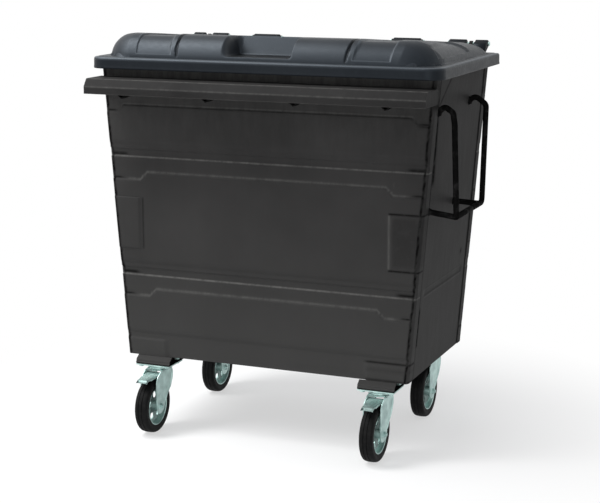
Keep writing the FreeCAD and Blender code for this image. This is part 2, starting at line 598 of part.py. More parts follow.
def wheel(corner, hand, end):
    """Pressed steel wheel with lightening holes, and the solid tyre round it."""
    x = swivel_x(hand)
    y = f"({swivel_y(end)} - {{caster_trail}})"
    seat = "({wheel_diameter} - 2 * {tyre_thickness})"

    def disc(name, diameter, width):
        """Cylinder along the axle, centred on the wheel."""
        return cylinder(f"{corner}_{name}", diameter, width, f"{x} - ({width}) / 2", y, AXLE_Z, ACROSS)

    barrel = trim(f"{corner}_rim_ring", disc("rim_out", seat, "{rim_width}"),
                  disc("rim_in", f"{seat} - 2 * {{rim_wall}}", f"{{rim_width}} + {OVERSHOOT}"))
    blank = join(f"{corner}_wheel_blank", barrel, disc("web", seat, "{disc_wall}"),
                 disc("hub", "{hub_diameter}", "{hub_length}"))
    holes = [disc("hub_bore", "{axle_diameter} + 2 * {running_gap}", f"{{hub_length}} + {OVERSHOOT}")]
    circle = f"(({seat} / 2 - {{rim_wall}} + {{hub_diameter}} / 2) / 2)"
    for number in range(5):
        angle = f"{number} * 72 deg"
        holes.append(cylinder(f"{corner}_light_hole_{number}", "{lightening_hole}",
                              f"{{disc_wall}} + 2 * {OVERSHOOT}",
                              f"{x} - {{disc_wall}} / 2 - {OVERSHOOT}",
                              f"{y} + {circle} * sin({angle})", f"{AXLE_Z} + {circle} * cos({angle})",
                              ACROSS))
    keep(trim(f"{corner}_wheel", blank, *holes), f"wheel_rim_{corner}")

    half = "({tyre_width} / 2)"
    outer = "({wheel_diameter} / 2)"
    inner = f"({seat} / 2 + {{tyre_seat_gap}})"
    section = [(f"-{half}", inner), (half, inner), (half, f"{outer} - {{tread_bevel}}"),
               (f"{half} - {{tread_bevel}}", outer), (f"-({half} - {{tread_bevel}})", outer),
               (f"-{half}", f"{outer} - {{tread_bevel}}")]
    tread = document.addObject("Part::Revolution", f"{corner}_tyre_ring")
    tread.Source = outline(f"{corner}_tyre_section", section, FACING_FRONT)
    tread.Axis = FreeCAD.Vector(1, 0, 0)
    tread.Angle = 360
    tread.Solid = True
    put(tread, x, y, AXLE_Z)
    grooves = []
    for word, sign in (("left", -1), ("right", 1)):
        middle = f"{x} + ({sign}) * {{tread_groove_spacing}} / 2 - {{tread_groove_width}} / 2"
        ring = cylinder(f"{corner}_groove_{word}", f"{{wheel_diameter}} + 2 * {OVERSHOOT}",
                        "{tread_groove_width}", middle, y, AXLE_Z, ACROSS)
        floor = cylinder(f"{corner}_groove_floor_{word}",
                         "{wheel_diameter} - 2 * {tread_groove_depth}",
                         "{tread_groove_width}", middle, y, AXLE_Z, ACROSS)
        grooves.append(trim(f"{corner}_groove_cut_{word}", ring, floor))
    keep(trim(f"{corner}_tyre", tread, *grooves), f"tyre_{corner}")


def brake_pedal(corner, hand, end):
    """Channel-shaped pedal hung on a pin between the fork's cheeks, and that pin."""
    x = swivel_x(hand)
    y = swivel_y(end)
    pin_y = f"({y} - {{pedal_pin_forward}})"
    pin_z = f"({CROWN_LOW} - {{pedal_pin_drop}})"
    ear = "({fork_gap} / 2 - {pedal_side_gap})"
    tip_y = f"({pin_y} - {{pedal_reach}})"
    top_z = f"({pin_z} + {{pedal_flange}} / 2)"
    tip_z = f"({top_z} - {{pedal_drop}})"
    tread = [(f"{y} - {{fork_crown_front}} - {{pedal_wall}}", top_z), (tip_y, tip_z),
             (tip_y, f"{tip_z} - {{pedal_wall}}"),
             (f"{y} - {{fork_crown_front}} - {{pedal_wall}}", f"{top_z} - {{pedal_wall}}")]
    cheek = [(f"{pin_y} + {{pedal_flange}} / 2", f"{pin_z} + {{pedal_flange}} / 2"),
             (f"{y} - {{fork_crown_front}} - {{pedal_wall}}", top_z),
             (f"{tip_y} + {{pedal_reach}} / 3", f"{tip_z} + {{pedal_drop}} / 3"),
             (f"{tip_y} + {{pedal_reach}} / 3", f"{tip_z} + {{pedal_drop}} / 3 - {{pedal_flange}}"),
             (f"{pin_y} + {{pedal_flange}} / 2", f"{pin_z} - {{pedal_flange}} / 2")]
    parts = [across(f"{corner}_tread_plate", tread, f"{x} - {ear}", f"2 * {ear}")]
    for word, start in (("left", f"{x} - {ear}"), ("right", f"{x} + {ear} - {{pedal_wall}}")):
        parts.append(across(f"{corner}_pedal_cheek_{word}", cheek, start, "{pedal_wall}"))
    bore = cylinder(f"{corner}_pedal_eye", "{pedal_pin_diameter} + 2 * {running_gap}",
                    f"2 * {ear} + 2 * {OVERSHOOT}", f"{x} - {ear} - {OVERSHOOT}", pin_y, pin_z, ACROSS)
    keep(trim(f"{corner}_pedal", join(f"{corner}_pedal_blank", *parts), bore), f"brake_pedal_{corner}")
    keep(cylinder(f"{corner}_pedal_pin", "{pedal_pin_diameter}", f"2 * {FORK_HALF}",
                  f"{x} - {FORK_HALF}", pin_y, pin_z, ACROSS), f"pedal_pin_{corner}")


for corner, hand, end in CORNERS:
    caster_plate(corner, hand, end)
    king_pin(corner, hand, end)
    fork(corner, hand, end, end < 0)
    axle(corner, hand, end)
    wheel(corner, hand, end)
    if end < 0:
        brake_pedal(corner, hand, end)

bolts = []
nuts = []
for corner, hand, end in CORNERS:
    for number, (x, y) in enumerate(bolt_places(hand, end), start=1):
        name = f"{corner}_bolt_{number}"
        low = f"({PLATE_LOW} - {{bolt_head_length}})"
        head = hexagon(f"{name}_head", "{bolt_head_width}", "{bolt_head_length}", x, y, low)
        shank = cylinder(f"{name}_shank", "{bolt_diameter}",
                         "2 * {bolt_head_length} + {plate_wall} + {bracket_wall} + {bolt_gap}",
                         x, y, low)
        bolts.append(join(name, head, shank))
        nut_z = "{caster_height} + {bracket_wall}"
        block = hexagon(f"{name}_nut_block", "{bolt_head_width}", "{bolt_head_length}", x, y, nut_z)
        bore = cylinder(f"{name}_nut_bore", "{bolt_diameter} + 2 * {running_gap}",
                        f"{{bolt_head_length}} + 2 * {OVERSHOOT}", x, y, f"{nut_z} - {OVERSHOOT}")
        nuts.append(trim(f"{name}_nut", block, bore))
keep(group("caster_bolt_group", bolts), "caster_bolts")
keep(group("caster_nut_group", nuts), "caster_nuts")


# ---- side handle: bent round bar, which no primitive gives -------------------------------------

def size(alias):
    """A size as the sheet holds it."""
    return float(getattr(sheet, alias))


def bent_bar(points, bend, diameter):
    """Round bar as straight runs joined by bends of one radius."""
    pieces = []
    start = points[0]
    for index in range(1, len(points)):
        corner = points[index]
        run = (corner - points[index - 1]).normalize()
        last = index == len(points) - 1
        finish = corner if last else corner - run * bend
        pieces.append(Part.makeCylinder(diameter / 2, (finish - start).Length, start, run))
        if last:
            break
        ahead = (points[index + 1] - corner).normalize()
        centre = finish + ahead * bend
        disc = Part.Face(Part.Wire(Part.makeCircle(diameter / 2, finish, run)))
        pieces.append(disc.revolve(centre, run.cross(ahead), 90))
        start = centre + run * bend
    return pieces[0].fuse(pieces[1:])


def side_slope_x(z):
    """The body's half-width at a height, as a number."""
    base = size("caster_height") + size("bracket_height")
    slope = (size("top_width") - size("base_width")) / 2 / size("body_height")
    return size("base_width") / 2 + (z - base) * slope


def side_handle():
    """Welded frame: a front loop, a rear bar that runs forward along the foot, and a strut."""
    bar_x = size("top_width") / 2 + size("handle_reach")
    mouth = size("caster_height") + size("bracket_height") + size("body_height")
    top = mouth - size("handle_drop")
    low = top - size("handle_height")
    near = size("body_offset_y") - size("body_depth") / 2 + size("handle_setback")
    far = near + size("handle_span_y")
    diameter = size("handle_bar")
    bend = size("handle_bend")
    wall = size("sheet_wall")
    high_x = side_slope_x(top) - wall
    low_x = side_slope_x(low) - wall
    point = FreeCAD.Vector
    loop = bent_bar([point(high_x, near, top), point(bar_x, near, top), point(bar_x, near, low),
                     point(low_x, near, low)], bend, diameter)
    rear = bent_bar([point(high_x, far, top), point(bar_x, far, top), point(bar_x, far, low),
                     point(bar_x, near, low)], bend, diameter)
    strut = Part.makeCylinder(diameter / 2, bar_x - low_x, point(low_x, far - bend, low), point(1, 0, 0))
    frame = loop.fuse([rear, strut]).removeSplitter()
    leaning_wall = []
    for z in (low - 2 * diameter, top + 2 * diameter):
        leaning_wall.append(point(0, near - 2 * diameter, z))
        leaning_wall.append(point(side_slope_x(z) - wall, near - 2 * diameter, z))
    corners = [leaning_wall[0], leaning_wall[1], leaning_wall[3], leaning_wall[2], leaning_wall[0]]
    inside = Part.Face(Part.makePolygon(corners)).extrude(point(0, far - near + 4 * diameter, 0))
    return frame.cut(inside)


handle = document.addObject("Part::Feature", "handle_frame")
handle.Shape = side_handle()
keep(handle, "side_handle")


# ---- lid ---------------------------------------------------------------------------------------

LID_WIDTH = "({top_width} + 2 * {lid_side_overhang})"
LID_FRONT_Y = f"({FRONT_Y} - {{lid_front_overhang}})"
LID_REAR_Y = f"({REAR_Y} + {{lid_rear_overhang}})"
LID_DEPTH = f"({LID_REAR_Y} - {LID_FRONT_Y})"
LID_TOP_Z = f"({RIM_TOP} + {{lid_seat_gap}} + {{lid_wall}})"
LID_LOW_Z = f"({LID_TOP_Z} - {{lid_rim_height}})"
DOME_HALF = f"({LID_WIDTH} / 2 - {{dome_side_margin}})"
DOME_FRONT_Y = f"({LID_FRONT_Y} + {{dome_front_margin}})"
DOME_REAR_Y = f"({LID_REAR_Y} - {{dome_rear_margin}})"
HINGE_Y = f"({LID_REAR_Y} + {{hinge_setback}})"
HINGE_Z = f"({LID_TOP_Z} + {{hinge_rise}})"
HINGE_OUTER_X = f"({LID_WIDTH} / 2 - {{hinge_outer_inset}})"


def dome(name, inset):
    """Dome: what the front view's outline and the side view's outline share."""
    foot = f"({LID_TOP_Z} - {inset} - {OVERSHOOT})"
    rise = f"({LID_TOP_Z} - {inset})"
    half = f"({DOME_HALF} - {inset})"
    right = [(half, foot), (half, rise),
             (f"{half} - {{dome_shoulder_run}}", f"{rise} + {{dome_shoulder_rise}}"),
             (f"{half} - {{dome_haunch_run}}", f"{rise} + {{dome_haunch_rise}}"),
             (f"{half} - {{dome_crown_run}}", f"{rise} + {{dome_height}}")]
    front_view = right + [(f"-({x})", z) for x, z in reversed(right)]
    side_view = [
        (f"{DOME_FRONT_Y} + {inset}", foot), (f"{DOME_REAR_Y} - {inset}", foot),
        (f"{DOME_REAR_Y} - {inset}", rise),
        (f"{DOME_REAR_Y} - {inset} - {{dome_rear_run}}", f"{rise} + {{dome_rear_rise}}"),
        (f"({DOME_FRONT_Y} + {DOME_REAR_Y}) / 2",
         f"{rise} + {{dome_height}} * 0.6 + {{dome_rear_rise}} * 0.4"),
        (f"{DOME_FRONT_Y} + {inset} + {{dome_front_crown_run}}", f"{rise} + {{dome_height}}"),
        (f"{DOME_FRONT_Y} + {inset} + {{dome_brow_run}}", f"{rise} + {{dome_brow_rise}}"),
        (f"{DOME_FRONT_Y} + {inset}", rise),
    ]
    return overlap(name, backward(f"{name}_front_view", front_view, DOME_FRONT_Y,
                                  f"{DOME_REAR_Y} - {DOME_FRONT_Y}"),
                   across(f"{name}_side_view", side_view, f"-{DOME_HALF}", f"2 * {DOME_HALF}"))


def brow_recess(name, middle_x, width, setback, grow):
    """Block in front of the dome's brow, set back behind it; grow widens it by a wall."""
    foot_z = f"({LID_TOP_Z} + {{recess_foot}} - {grow})"
    back_low = f"{DOME_FRONT_Y} + {setback} + {grow}"
    lean = "({dome_brow_run} / {dome_brow_rise})"
    top_z = f"({LID_TOP_Z} + 2 * {{dome_height}})"
    section = [(f"{DOME_FRONT_Y} - {setback}", foot_z), (back_low, foot_z),
               (f"{back_low} + ({top_z} - {foot_z}) * {lean}", top_z),
               (f"{DOME_FRONT_Y} - {setback}", top_z)]
    return across(name, section, f"{middle_x} - {width} / 2 - {grow}", f"{width} + 2 * {grow}")


def cheek_recess(name, hand, grow):
    """Shallow rectangular recess in the end of the dome."""
    outer = f"({DOME_HALF} + {OVERSHOOT})"
    lean = "({dome_shoulder_run} / {dome_shoulder_rise})"
    low = f"({{cheek_recess_low}} - {grow})"
    high = f"({{cheek_recess_high}} + {grow})"
    depth = f"({{cheek_recess_depth}} + {grow})"
    corners = [(f"{hand} * {outer}", f"{LID_TOP_Z} + {low}"),
               (f"{hand} * {outer}", f"{LID_TOP_Z} + {high}"),
               (f"{hand} * ({DOME_HALF} - {depth} - {high} * {lean})", f"{LID_TOP_Z} + {high}"),
               (f"{hand} * ({DOME_HALF} - {depth} - {low} * {lean})", f"{LID_TOP_Z} + {low}")]
    return backward(name, corners, f"{DOME_FRONT_Y} + {{cheek_recess_setback}} - {grow}",
                    f"{{cheek_recess_length}} + 2 * {grow}")


def lid_recesses(word, grow):
    """All recesses of the dome, as blocks to take away."""
    far_x = "({end_recess_inner} + {end_recess_width} / 2)"
    blocks = [brow_recess(f"grip_{word}", "0", "{grip_recess_width}", "{grip_recess_setback}", grow)]
    for side, hand in (("left", -1), ("right", 1)):
        blocks.append(brow_recess(f"end_{word}_{side}", f"{hand} * {far_x}", "{end_recess_width}",
                                  "{end_recess_setback}", grow))
        blocks.append(cheek_recess(f"cheek_{word}_{side}", hand, grow))
    return blocks


def knuckle_spans():
    """Start and length across the lid of each hinge knuckle, and of each gap between a pair."""
    knuckles = []
    gaps = []
    gap = "{hinge_outer_gap}"
    for side, hand in (("left", -1), ("right", 1)):
        outer = f"({hand} * {HINGE_OUTER_X} + {hand} * {gap} / 2)"
        inner = f"({hand} * {HINGE_OUTER_X} - {hand} * {gap} / 2)"
        outer_start = outer if hand > 0 else f"({outer} - {{hinge_outer_knuckle}})"
        inner_start = f"({inner} - {{hinge_inner_knuckle}})" if hand > 0 else inner
        middle_start = f"({hand} * {{hinge_middle_x}} - {{hinge_middle_knuckle}} / 2)"
        knuckles.append((f"{side}_outer", outer_start, "{hinge_outer_knuckle}"))
        knuckles.append((f"{side}_inner", inner_start, "{hinge_inner_knuckle}"))
        knuckles.append((f"{side}_middle", middle_start, "{hinge_middle_knuckle}"))
        gaps.append((f"{side}_gap", f"({hand} * {HINGE_OUTER_X} - {gap} / 2)", gap))
        ear = "({hinge_ear_wall} + 2 * {hinge_side_gap})"
        gaps.append((f"{side}_middle_left_ear", f"({middle_start} - {ear})", ear))
        gaps.append((f"{side}_middle_right_ear", f"({middle_start} + {{hinge_middle_knuckle}})", ear))
    return knuckles, gaps


def lid_shell():
    """Skirted lid with a domed, recessed top and hinge knuckles along its rear edge."""
    knuckles, gaps = knuckle_spans()
    block = rounded("lid_block", f"-{LID_WIDTH} / 2", LID_FRONT_Y, LID_LOW_Z, LID_WIDTH,
                    LID_DEPTH, "{lid_rim_height}", "{lid_front_corner}", "{lid_rear_corner}")
    hollow = rounded("lid_hollow", f"-{LID_WIDTH} / 2 + {{lid_wall}}", f"{LID_FRONT_Y} + {{lid_wall}}",
                     f"{LID_LOW_Z} - {OVERSHOOT}", f"{LID_WIDTH} - 2 * {{lid_wall}}",
                     f"{LID_DEPTH} + {OVERSHOOT}", f"{{lid_rim_height}} - {{lid_wall}} + {OVERSHOOT}",
                     "{lid_front_corner} - {lid_wall}", "{lid_rear_corner} / 2")
    skin = trim("dome_skin", dome("dome_outside", "0"), *lid_recesses("recess", "0"))
    space = trim("dome_space", dome("dome_inside", "{lid_wall}"),
                 *lid_recesses("recess_back", "{lid_wall}"))
    barrels = []
    for word, start, length in knuckles:
        barrels.append(cylinder(f"{word}_barrel", "2 * {knuckle_radius}", length, start, HINGE_Y,
                                HINGE_Z, ACROSS))
        root = [(f"{LID_REAR_Y} - {{hinge_root_depth}}", f"{LID_TOP_Z} - {{lid_wall}}"),
                (f"{LID_REAR_Y} - {{lid_wall}}", f"{LID_TOP_Z} - {{lid_wall}}"),
                (f"{HINGE_Y} + {{knuckle_radius}}", HINGE_Z),
                (HINGE_Y, f"{HINGE_Z} + {{knuckle_radius}}"),
                (f"{HINGE_Y} - {{knuckle_radius}}", f"{HINGE_Z} + {{knuckle_radius}} / 2"),
                (f"{LID_REAR_Y} - {{hinge_root_depth}}", f"{LID_TOP_Z} + {{lid_wall}}")]
        barrels.append(across(f"{word}_root", root, start, length))
    full = join("lid_blocks", block, skin, *barrels)
    tools = [hollow, space]
    for word, start, length in gaps:
        tools.append(box(f"{word}_notch", start, f"{REAR_Y} - {{hinge_notch_margin}}",
                         f"{LID_LOW_Z} - {OVERSHOOT}", length, LID_DEPTH,
                         "{lid_rim_height} + {dome_height}"))
    tools.append(cylinder("knuckle_bore", "{hinge_pin_diameter} + 2 * {running_gap}", LID_WIDTH,
                          f"-{LID_WIDTH} / 2", HINGE_Y, HINGE_Z, ACROSS))
    keep(trim("lid_body", full, *tools), "lid_shell")


lid_shell()


# ---- hinge brackets and pins -------------------------------------------------------------------

def hinge_ear(name, start, width):
    """Ear that stands on the rear panel's outer face and leans back to the hinge axis."""
    low = f"({TOP_Z} - {{hinge_strap_length}})"
    bend = f"({TOP_Z} - {{hinge_strap_wall}})"
    section = [(REAR_Y, low), (f"{REAR_Y} + {{hinge_strap_wall}}", low),
               (f"{REAR_Y} + {{hinge_strap_wall}}", bend),
               (f"{HINGE_Y} + {{knuckle_radius}} * 0.8", f"{HINGE_Z} - {{knuckle_radius}} * 0.6"),
               (f"{HINGE_Y} - {{knuckle_radius}} * 0.6", f"{HINGE_Z} + {{knuckle_radius}} * 0.8"),
               (REAR_Y, f"{RIM_TOP}")]
    strap = across(f"{name}_strap", section, start, width)
    eye = cylinder(f"{name}_eye", "2 * {knuckle_radius} - {hinge_side_gap}", width, start, HINGE_Y,
                   HINGE_Z, ACROSS)
    return join(f"{name}_blank", strap, eye)


def hinge_set():
    """Brackets with their pin bores, and the pins."""
    brackets = []
    pins = []
    head = "{hinge_pin_head_length}"
    for side, hand in (("left", -1), ("right", 1)):
        outer_start = f"({hand} * {HINGE_OUTER_X} - {{hinge_outer_gap}} / 2)"
        width = "({hinge_outer_gap} - 2 * {hinge_side_gap})"
        blanks = [(f"{side}_outer_bracket",
                   hinge_ear(f"{side}_outer_bracket", f"({outer_start} + {{hinge_side_gap}})", width))]
        middle_start = f"({hand} * {{hinge_middle_x}} - {{hinge_middle_knuckle}} / 2)"
        left_ear = f"({middle_start} - {{hinge_side_gap}} - {{hinge_ear_wall}})"
        right_ear = f"({middle_start} + {{hinge_middle_knuckle}} + {{hinge_side_gap}})"
        ears = [hinge_ear(f"{side}_middle_ear_left", left_ear, "{hinge_ear_wall}"),
                hinge_ear(f"{side}_middle_ear_right", right_ear, "{hinge_ear_wall}")]
        tie = box(f"{side}_middle_tie", left_ear, REAR_Y, f"{TOP_Z} - {{hinge_strap_length}}",
                  "{hinge_middle_knuckle} + 2 * {hinge_side_gap} + 2 * {hinge_ear_wall}",
                  "{hinge_strap_wall}", "{hinge_strap_length} / 2")
        blanks.append((f"{side}_middle_bracket", join(f"{side}_middle_blank", tie, *ears)))
        spans = (
            (f"{side}_outer", outer_start,
             "{hinge_outer_gap}", "{hinge_inner_knuckle}", "{hinge_outer_knuckle}"),
            (f"{side}_middle", left_ear,
             "{hinge_middle_knuckle} + 2 * {hinge_side_gap} + 2 * {hinge_ear_wall}", "0", "0"),
        )
        for (name, blank), (word, start, length, inner, outer) in zip(blanks, spans):
            bore = cylinder(f"{name}_bore", "{hinge_pin_diameter} + 2 * {running_gap}",
                            f"({length}) + 2 * {OVERSHOOT}", f"{start} - {OVERSHOOT}", HINGE_Y,
                            HINGE_Z, ACROSS)
            brackets.append(trim(name, blank, bore))
            before = outer if hand < 0 else inner
            pin_start = f"({start} - ({before}) - {{hinge_side_gap}})"
            pin_length = f"(({length}) + ({inner}) + ({outer}) + 2 * {{hinge_side_gap}})"
            shank = cylinder(f"{word}_pin_shank", "{hinge_pin_diameter}", pin_length, pin_start,
                             HINGE_Y, HINGE_Z, ACROSS)
            heads = []
            for end_word, x in (("start", f"{pin_start} - {head}"), ("end", f"{pin_start} + {pin_length}")):
                heads.append(cylinder(f"{word}_pin_{end_word}", "{hinge_pin_head}", head, x, HINGE_Y,
                                      HINGE_Z, ACROSS))
            pins.append(join(f"{word}_pin", shank, *heads))
    keep(group("hinge_bracket_group", brackets), "hinge_brackets")
    keep(group("hinge_pin_group", pins), "hinge_pins")


hinge_set()


# ---- check and write ---------------------------------------------------------------------------

document.recompute()
for item in document.Objects:
    if "Invalid" in item.State or "Error" in item.State:
        raise RuntimeError(f"{item.Name} failed: {item.State}")
for node in nodes:
    if node.Shape.isNull() or not node.Shape.isValid() or not node.Shape.Solids:
        raise RuntimeError(f"{node.Label} has no sound shape")
os.makedirs("parts", exist_ok=True)
for node in nodes:
    node.Shape.exportStep(f"parts/{node.Label}.step")
    corner = node.Shape.BoundBox
    print(f"{node.Label}: {len(node.Shape.Solids)} solid(s), volume {node.Shape.Volume:.0f}, "
          f"x {corner.XMin:.1f} {corner.XMax:.1f}, y {corner.YMin:.1f} {corner.YMax:.1f}, "
          f"z {corner.ZMin:.1f} {corner.ZMax:.1f}")
print(len(nodes), "sub-parts")
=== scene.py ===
import json
import math

import bmesh
import bpy
import numpy as np
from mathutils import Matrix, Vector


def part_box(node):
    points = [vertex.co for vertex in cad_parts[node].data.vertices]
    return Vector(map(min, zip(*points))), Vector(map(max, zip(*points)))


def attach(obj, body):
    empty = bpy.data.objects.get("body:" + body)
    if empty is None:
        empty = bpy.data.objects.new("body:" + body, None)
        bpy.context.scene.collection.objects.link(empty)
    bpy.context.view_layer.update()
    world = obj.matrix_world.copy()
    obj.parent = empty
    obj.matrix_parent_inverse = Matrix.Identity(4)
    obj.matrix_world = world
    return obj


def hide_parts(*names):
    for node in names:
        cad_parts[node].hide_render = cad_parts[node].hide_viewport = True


# A four-wheeled refuse container: pressed-steel body, moulded lid, lifting rail, handle, casters.
# Metres; X across, Y from front to rear, Z up; places come from the boxes of the frame's nodes.

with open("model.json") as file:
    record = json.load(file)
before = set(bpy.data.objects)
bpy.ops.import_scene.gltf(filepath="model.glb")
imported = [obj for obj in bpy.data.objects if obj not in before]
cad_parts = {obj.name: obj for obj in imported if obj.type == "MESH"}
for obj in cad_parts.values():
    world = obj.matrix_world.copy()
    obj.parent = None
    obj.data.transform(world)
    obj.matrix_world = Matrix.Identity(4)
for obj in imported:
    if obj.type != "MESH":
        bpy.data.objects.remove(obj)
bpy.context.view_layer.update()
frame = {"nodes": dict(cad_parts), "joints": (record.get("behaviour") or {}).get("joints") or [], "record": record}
NODES = frame["nodes"]


# ---- shaping tools -----------------------------------------------------------------------------

def ease(distance, width):
    """Smooth step: 0 below zero, 1 beyond width, with the cubic 3t^2 - 2t^3 between."""
    t = np.clip(distance / width, 0.0, 1.0)
    return t * t * (3.0 - 2.0 * t)


def swell(distance, run, power):
    """Rise of a rounded shoulder from 0 to 1: (1 - (1 - d / run)^power)^(1 / power)."""
    left = 1.0 - np.clip(distance / run, 0.0, 1.0)
    return (1.0 - left ** power) ** (1.0 / power)


def merged(*runs):
    """Grid lines of several runs in one order, without doubles."""
    return np.unique(np.concatenate(runs).round(6))


def spaced(low, high, coarse, fine, marks, reach):
    """Grid lines from low to high, close together near the marks.

    One over the wanted spacing is summed along the span, and the sum is cut into equal shares.
    """
    t = np.linspace(low, high, 6001)
    near = np.abs(t[:, None] - np.asarray(marks)[None, :]).min(axis=1)
    wanted = np.where(near < reach, fine, coarse)
    total = np.concatenate(([0.0], np.cumsum(np.diff(t) / wanted[:-1])))
    return np.interp(np.linspace(0.0, total[-1], int(total[-1]) + 2), total, t)


def waves(a, b, size, seed):
    """Gentle unevenness of a sheet: a sum of sines in two directions with seeded phases."""
    rng = np.random.default_rng(seed)
    total = 0.0
    for step in range(1, 6):
        along, across = rng.uniform(3.0, 9.0, 2) * step
        phase = rng.uniform(0.0, 2.0 * math.pi, 2)
        total = total + np.sin(along * a + phase[0]) * np.sin(across * b + phase[1]) / step
    return size * total


def quads(rows, columns, wrap_rows=False, wrap_columns=False):
    """Faces of a grid of points that is stored row by row."""
    row = np.arange(rows if wrap_rows else rows - 1)
    column = np.arange(columns if wrap_columns else columns - 1)
    i, j = np.meshgrid(row, column, indexing="ij")
    i_next, j_next = (i + 1) % rows, (j + 1) % columns
    i, i_next = i * columns, i_next * columns
    return np.stack((i + j, i + j_next, i_next + j_next, i_next + j), axis=-1).reshape(-1, 4)


def joined(*values):
    """Values side by side along a new last axis, such as the coordinates of points."""
    return np.stack(np.broadcast_arrays(*values), axis=-1)


def painted_shade_and_light(painted_shade, painted_light=0.0):
    """Painted shade and painted light of a part, as a pair for each of its points."""
    return joined(painted_shade, painted_light)


def end_faces(rows, columns):
    """The two n-sided faces that close a run of rings."""
    first = list(range(columns))
    return [first, [(rows - 1) * columns + corner for corner in first]]


def make(name, stands_for, parts, body, slot, sharp=38.0, bevel=0.0):
    """One piece from (points, faces) pairs, shown in place of the node that it stands for.

    Doubles are merged, normals turned out and edges marked. A part may carry a third member,
    painted shade and painted light per point, which the finishes read.
    """
    points, faces, marks = [], [], []
    count = 0
    for part_points, part_faces, *part_marks in parts:
        flat = np.asarray(part_points, float).reshape(-1, 3)
        points.append(flat)
        marks.append(np.reshape(part_marks[0], (-1, 2)) if part_marks else np.zeros((len(flat), 2)))
        part_faces = part_faces.tolist() if isinstance(part_faces, np.ndarray) else part_faces
        faces.extend([corner + count for corner in face] for face in part_faces)
        count += len(flat)
    mesh = bpy.data.meshes.new(name)
    mesh.from_pydata(np.concatenate(points).tolist(), [], faces)
    marks = np.clip(np.concatenate(marks), 0.0, 1.0)
    # The two marks are painted shade and painted light, one value per point each.
    for column, word in enumerate(("painted_shade", "painted_light")):
        if marks[:, column].any():
            layer = mesh.attributes.new(word, "FLOAT", "POINT")
            layer.data.foreach_set("value", marks[:, column].astype(np.float32))
    work = bmesh.new()
    work.from_mesh(mesh)
    bmesh.ops.remove_doubles(work, verts=work.verts, dist=1e-6)
    bmesh.ops.recalc_face_normals(work, faces=work.faces)
    work.to_mesh(mesh)
    work.free()
    mesh.shade_smooth()
    mesh.set_sharp_from_angle(angle=math.radians(sharp))
    mesh.materials.append(SLOT_FINISHES[slot])
    made = bpy.data.objects.new(name, mesh)
    bpy.context.scene.collection.objects.link(made)
    if bevel:
        edges = made.modifiers.new("rounded_edges", "BEVEL")
        edges.width = bevel
        edges.segments = 2
        edges.limit_method = "ANGLE"
        edges.angle_limit = math.radians(35.0)
    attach(made, body)
    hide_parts(stands_for)


def closed_sheet(front, back, marks=None):
    """Thin sheet from two grids: the faces run up the front, over the edge and down the back.

    The painted shade and light, where there are any, lie on the front, and the back carries none.
    """
    rows, columns = front.shape[:2]
    grid = np.concatenate([front, back[::-1]], axis=0)
    faces = [quads(2 * rows, columns, wrap_rows=True)]
    index = np.arange(rows - 1)
    for column in (0, columns - 1):
        low = index * columns + column
        high = (index + 1) * columns + column
        back_low = (2 * rows - 1 - index) * columns + column
        back_high = (2 * rows - 2 - index) * columns + column
        faces.append(joined(low, high, back_high, back_low))
    sheet = (grid.reshape(-1, 3), np.concatenate(faces))
    return sheet if marks is None else (*sheet, np.concatenate([marks, 0.0 * marks]))


def lathe(profile, centre, count):
    """Ring turned about the X axis: each (x, radius) of a closed profile goes round count steps."""
    turn = np.linspace(0.0, 2.0 * math.pi, count, endpoint=False)
    profile = np.asarray(profile, float)
    radius = profile[:, 1:]
    points = joined(profile[:, :1], radius * np.sin(turn), radius * np.cos(turn))
    points = points + np.asarray(centre)
    return points.reshape(-1, 3), quads(len(profile), count, wrap_rows=True, wrap_columns=True)


def tube(path, radius, sides=20):
    """Round bar along a path: a circle in the plane square to the path's own direction.

    Its first axis is carried along by taking away, at each step, what leans along the path.
    """
    path = np.asarray(path, float)
    ahead = np.gradient(path, axis=0)
    ahead /= np.linalg.norm(ahead, axis=1)[:, None]
    side = np.cross(ahead[0], (0.0, 0.31, 0.95))
    sides_on = []
    for direction in ahead:
        side = side - direction * (side @ direction)
        side = side / np.linalg.norm(side)
        sides_on.append(side)
    first = np.array(sides_on)
    second = np.cross(ahead, first)
    turn = np.linspace(0.0, 2.0 * math.pi, sides, endpoint=False)
    reach = np.asarray(radius, float) * np.ones(len(path))
    cosine, sine = np.cos(turn)[None, :, None], np.sin(turn)[None, :, None]
    ring = first[:, None, :] * cosine + second[:, None, :] * sine
    points = path[:, None, :] + ring * reach[:, None, None]
    faces = quads(len(path), sides, wrap_columns=True).tolist()
    return points.reshape(-1, 3), faces + end_faces(len(path), sides)


def rounded_path(corners, radius, step=0.004):
    """Line through corners whose bends are quarter arcs of one radius, as evenly spaced points."""
    corners = [np.asarray(corner, float) for corner in corners]
    pieces = [corners[0][None, :]]
    for before, corner, after in zip(corners[:-2], corners[1:-1], corners[2:]):
        to_before = (before - corner) / np.linalg.norm(before - corner)
        to_after = (after - corner) / np.linalg.norm(after - corner)
        half = math.acos(float(np.clip(to_before @ to_after, -1.0, 1.0))) / 2.0
        cut = radius / math.tan(half)
        middle = (to_before + to_after) / np.linalg.norm(to_before + to_after)
        centre = corner + middle * radius / math.sin(half)
        sweep = np.linspace(0.0, 1.0, 9)[:, None]
        start = corner + to_before * cut - centre
        finish = corner + to_after * cut - centre
        angle = math.pi - 2.0 * half
        arc = start * np.sin((1.0 - sweep) * angle) + finish * np.sin(sweep * angle)
        pieces.append(arc / math.sin(angle) + centre)
    pieces.append(corners[-1][None, :])
    line = np.concatenate(pieces)
    gaps = np.linalg.norm(np.diff(line, axis=0), axis=1)
    line = line[np.concatenate(([True], gaps > 1e-7))]
    length = np.concatenate(([0.0], np.cumsum(np.linalg.norm(np.diff(line, axis=0), axis=1))))
    even = np.linspace(0.0, length[-1], max(2, int(length[-1] / step)))
    return np.stack([np.interp(even, length, line[:, axis]) for axis in range(3)], axis=-1)


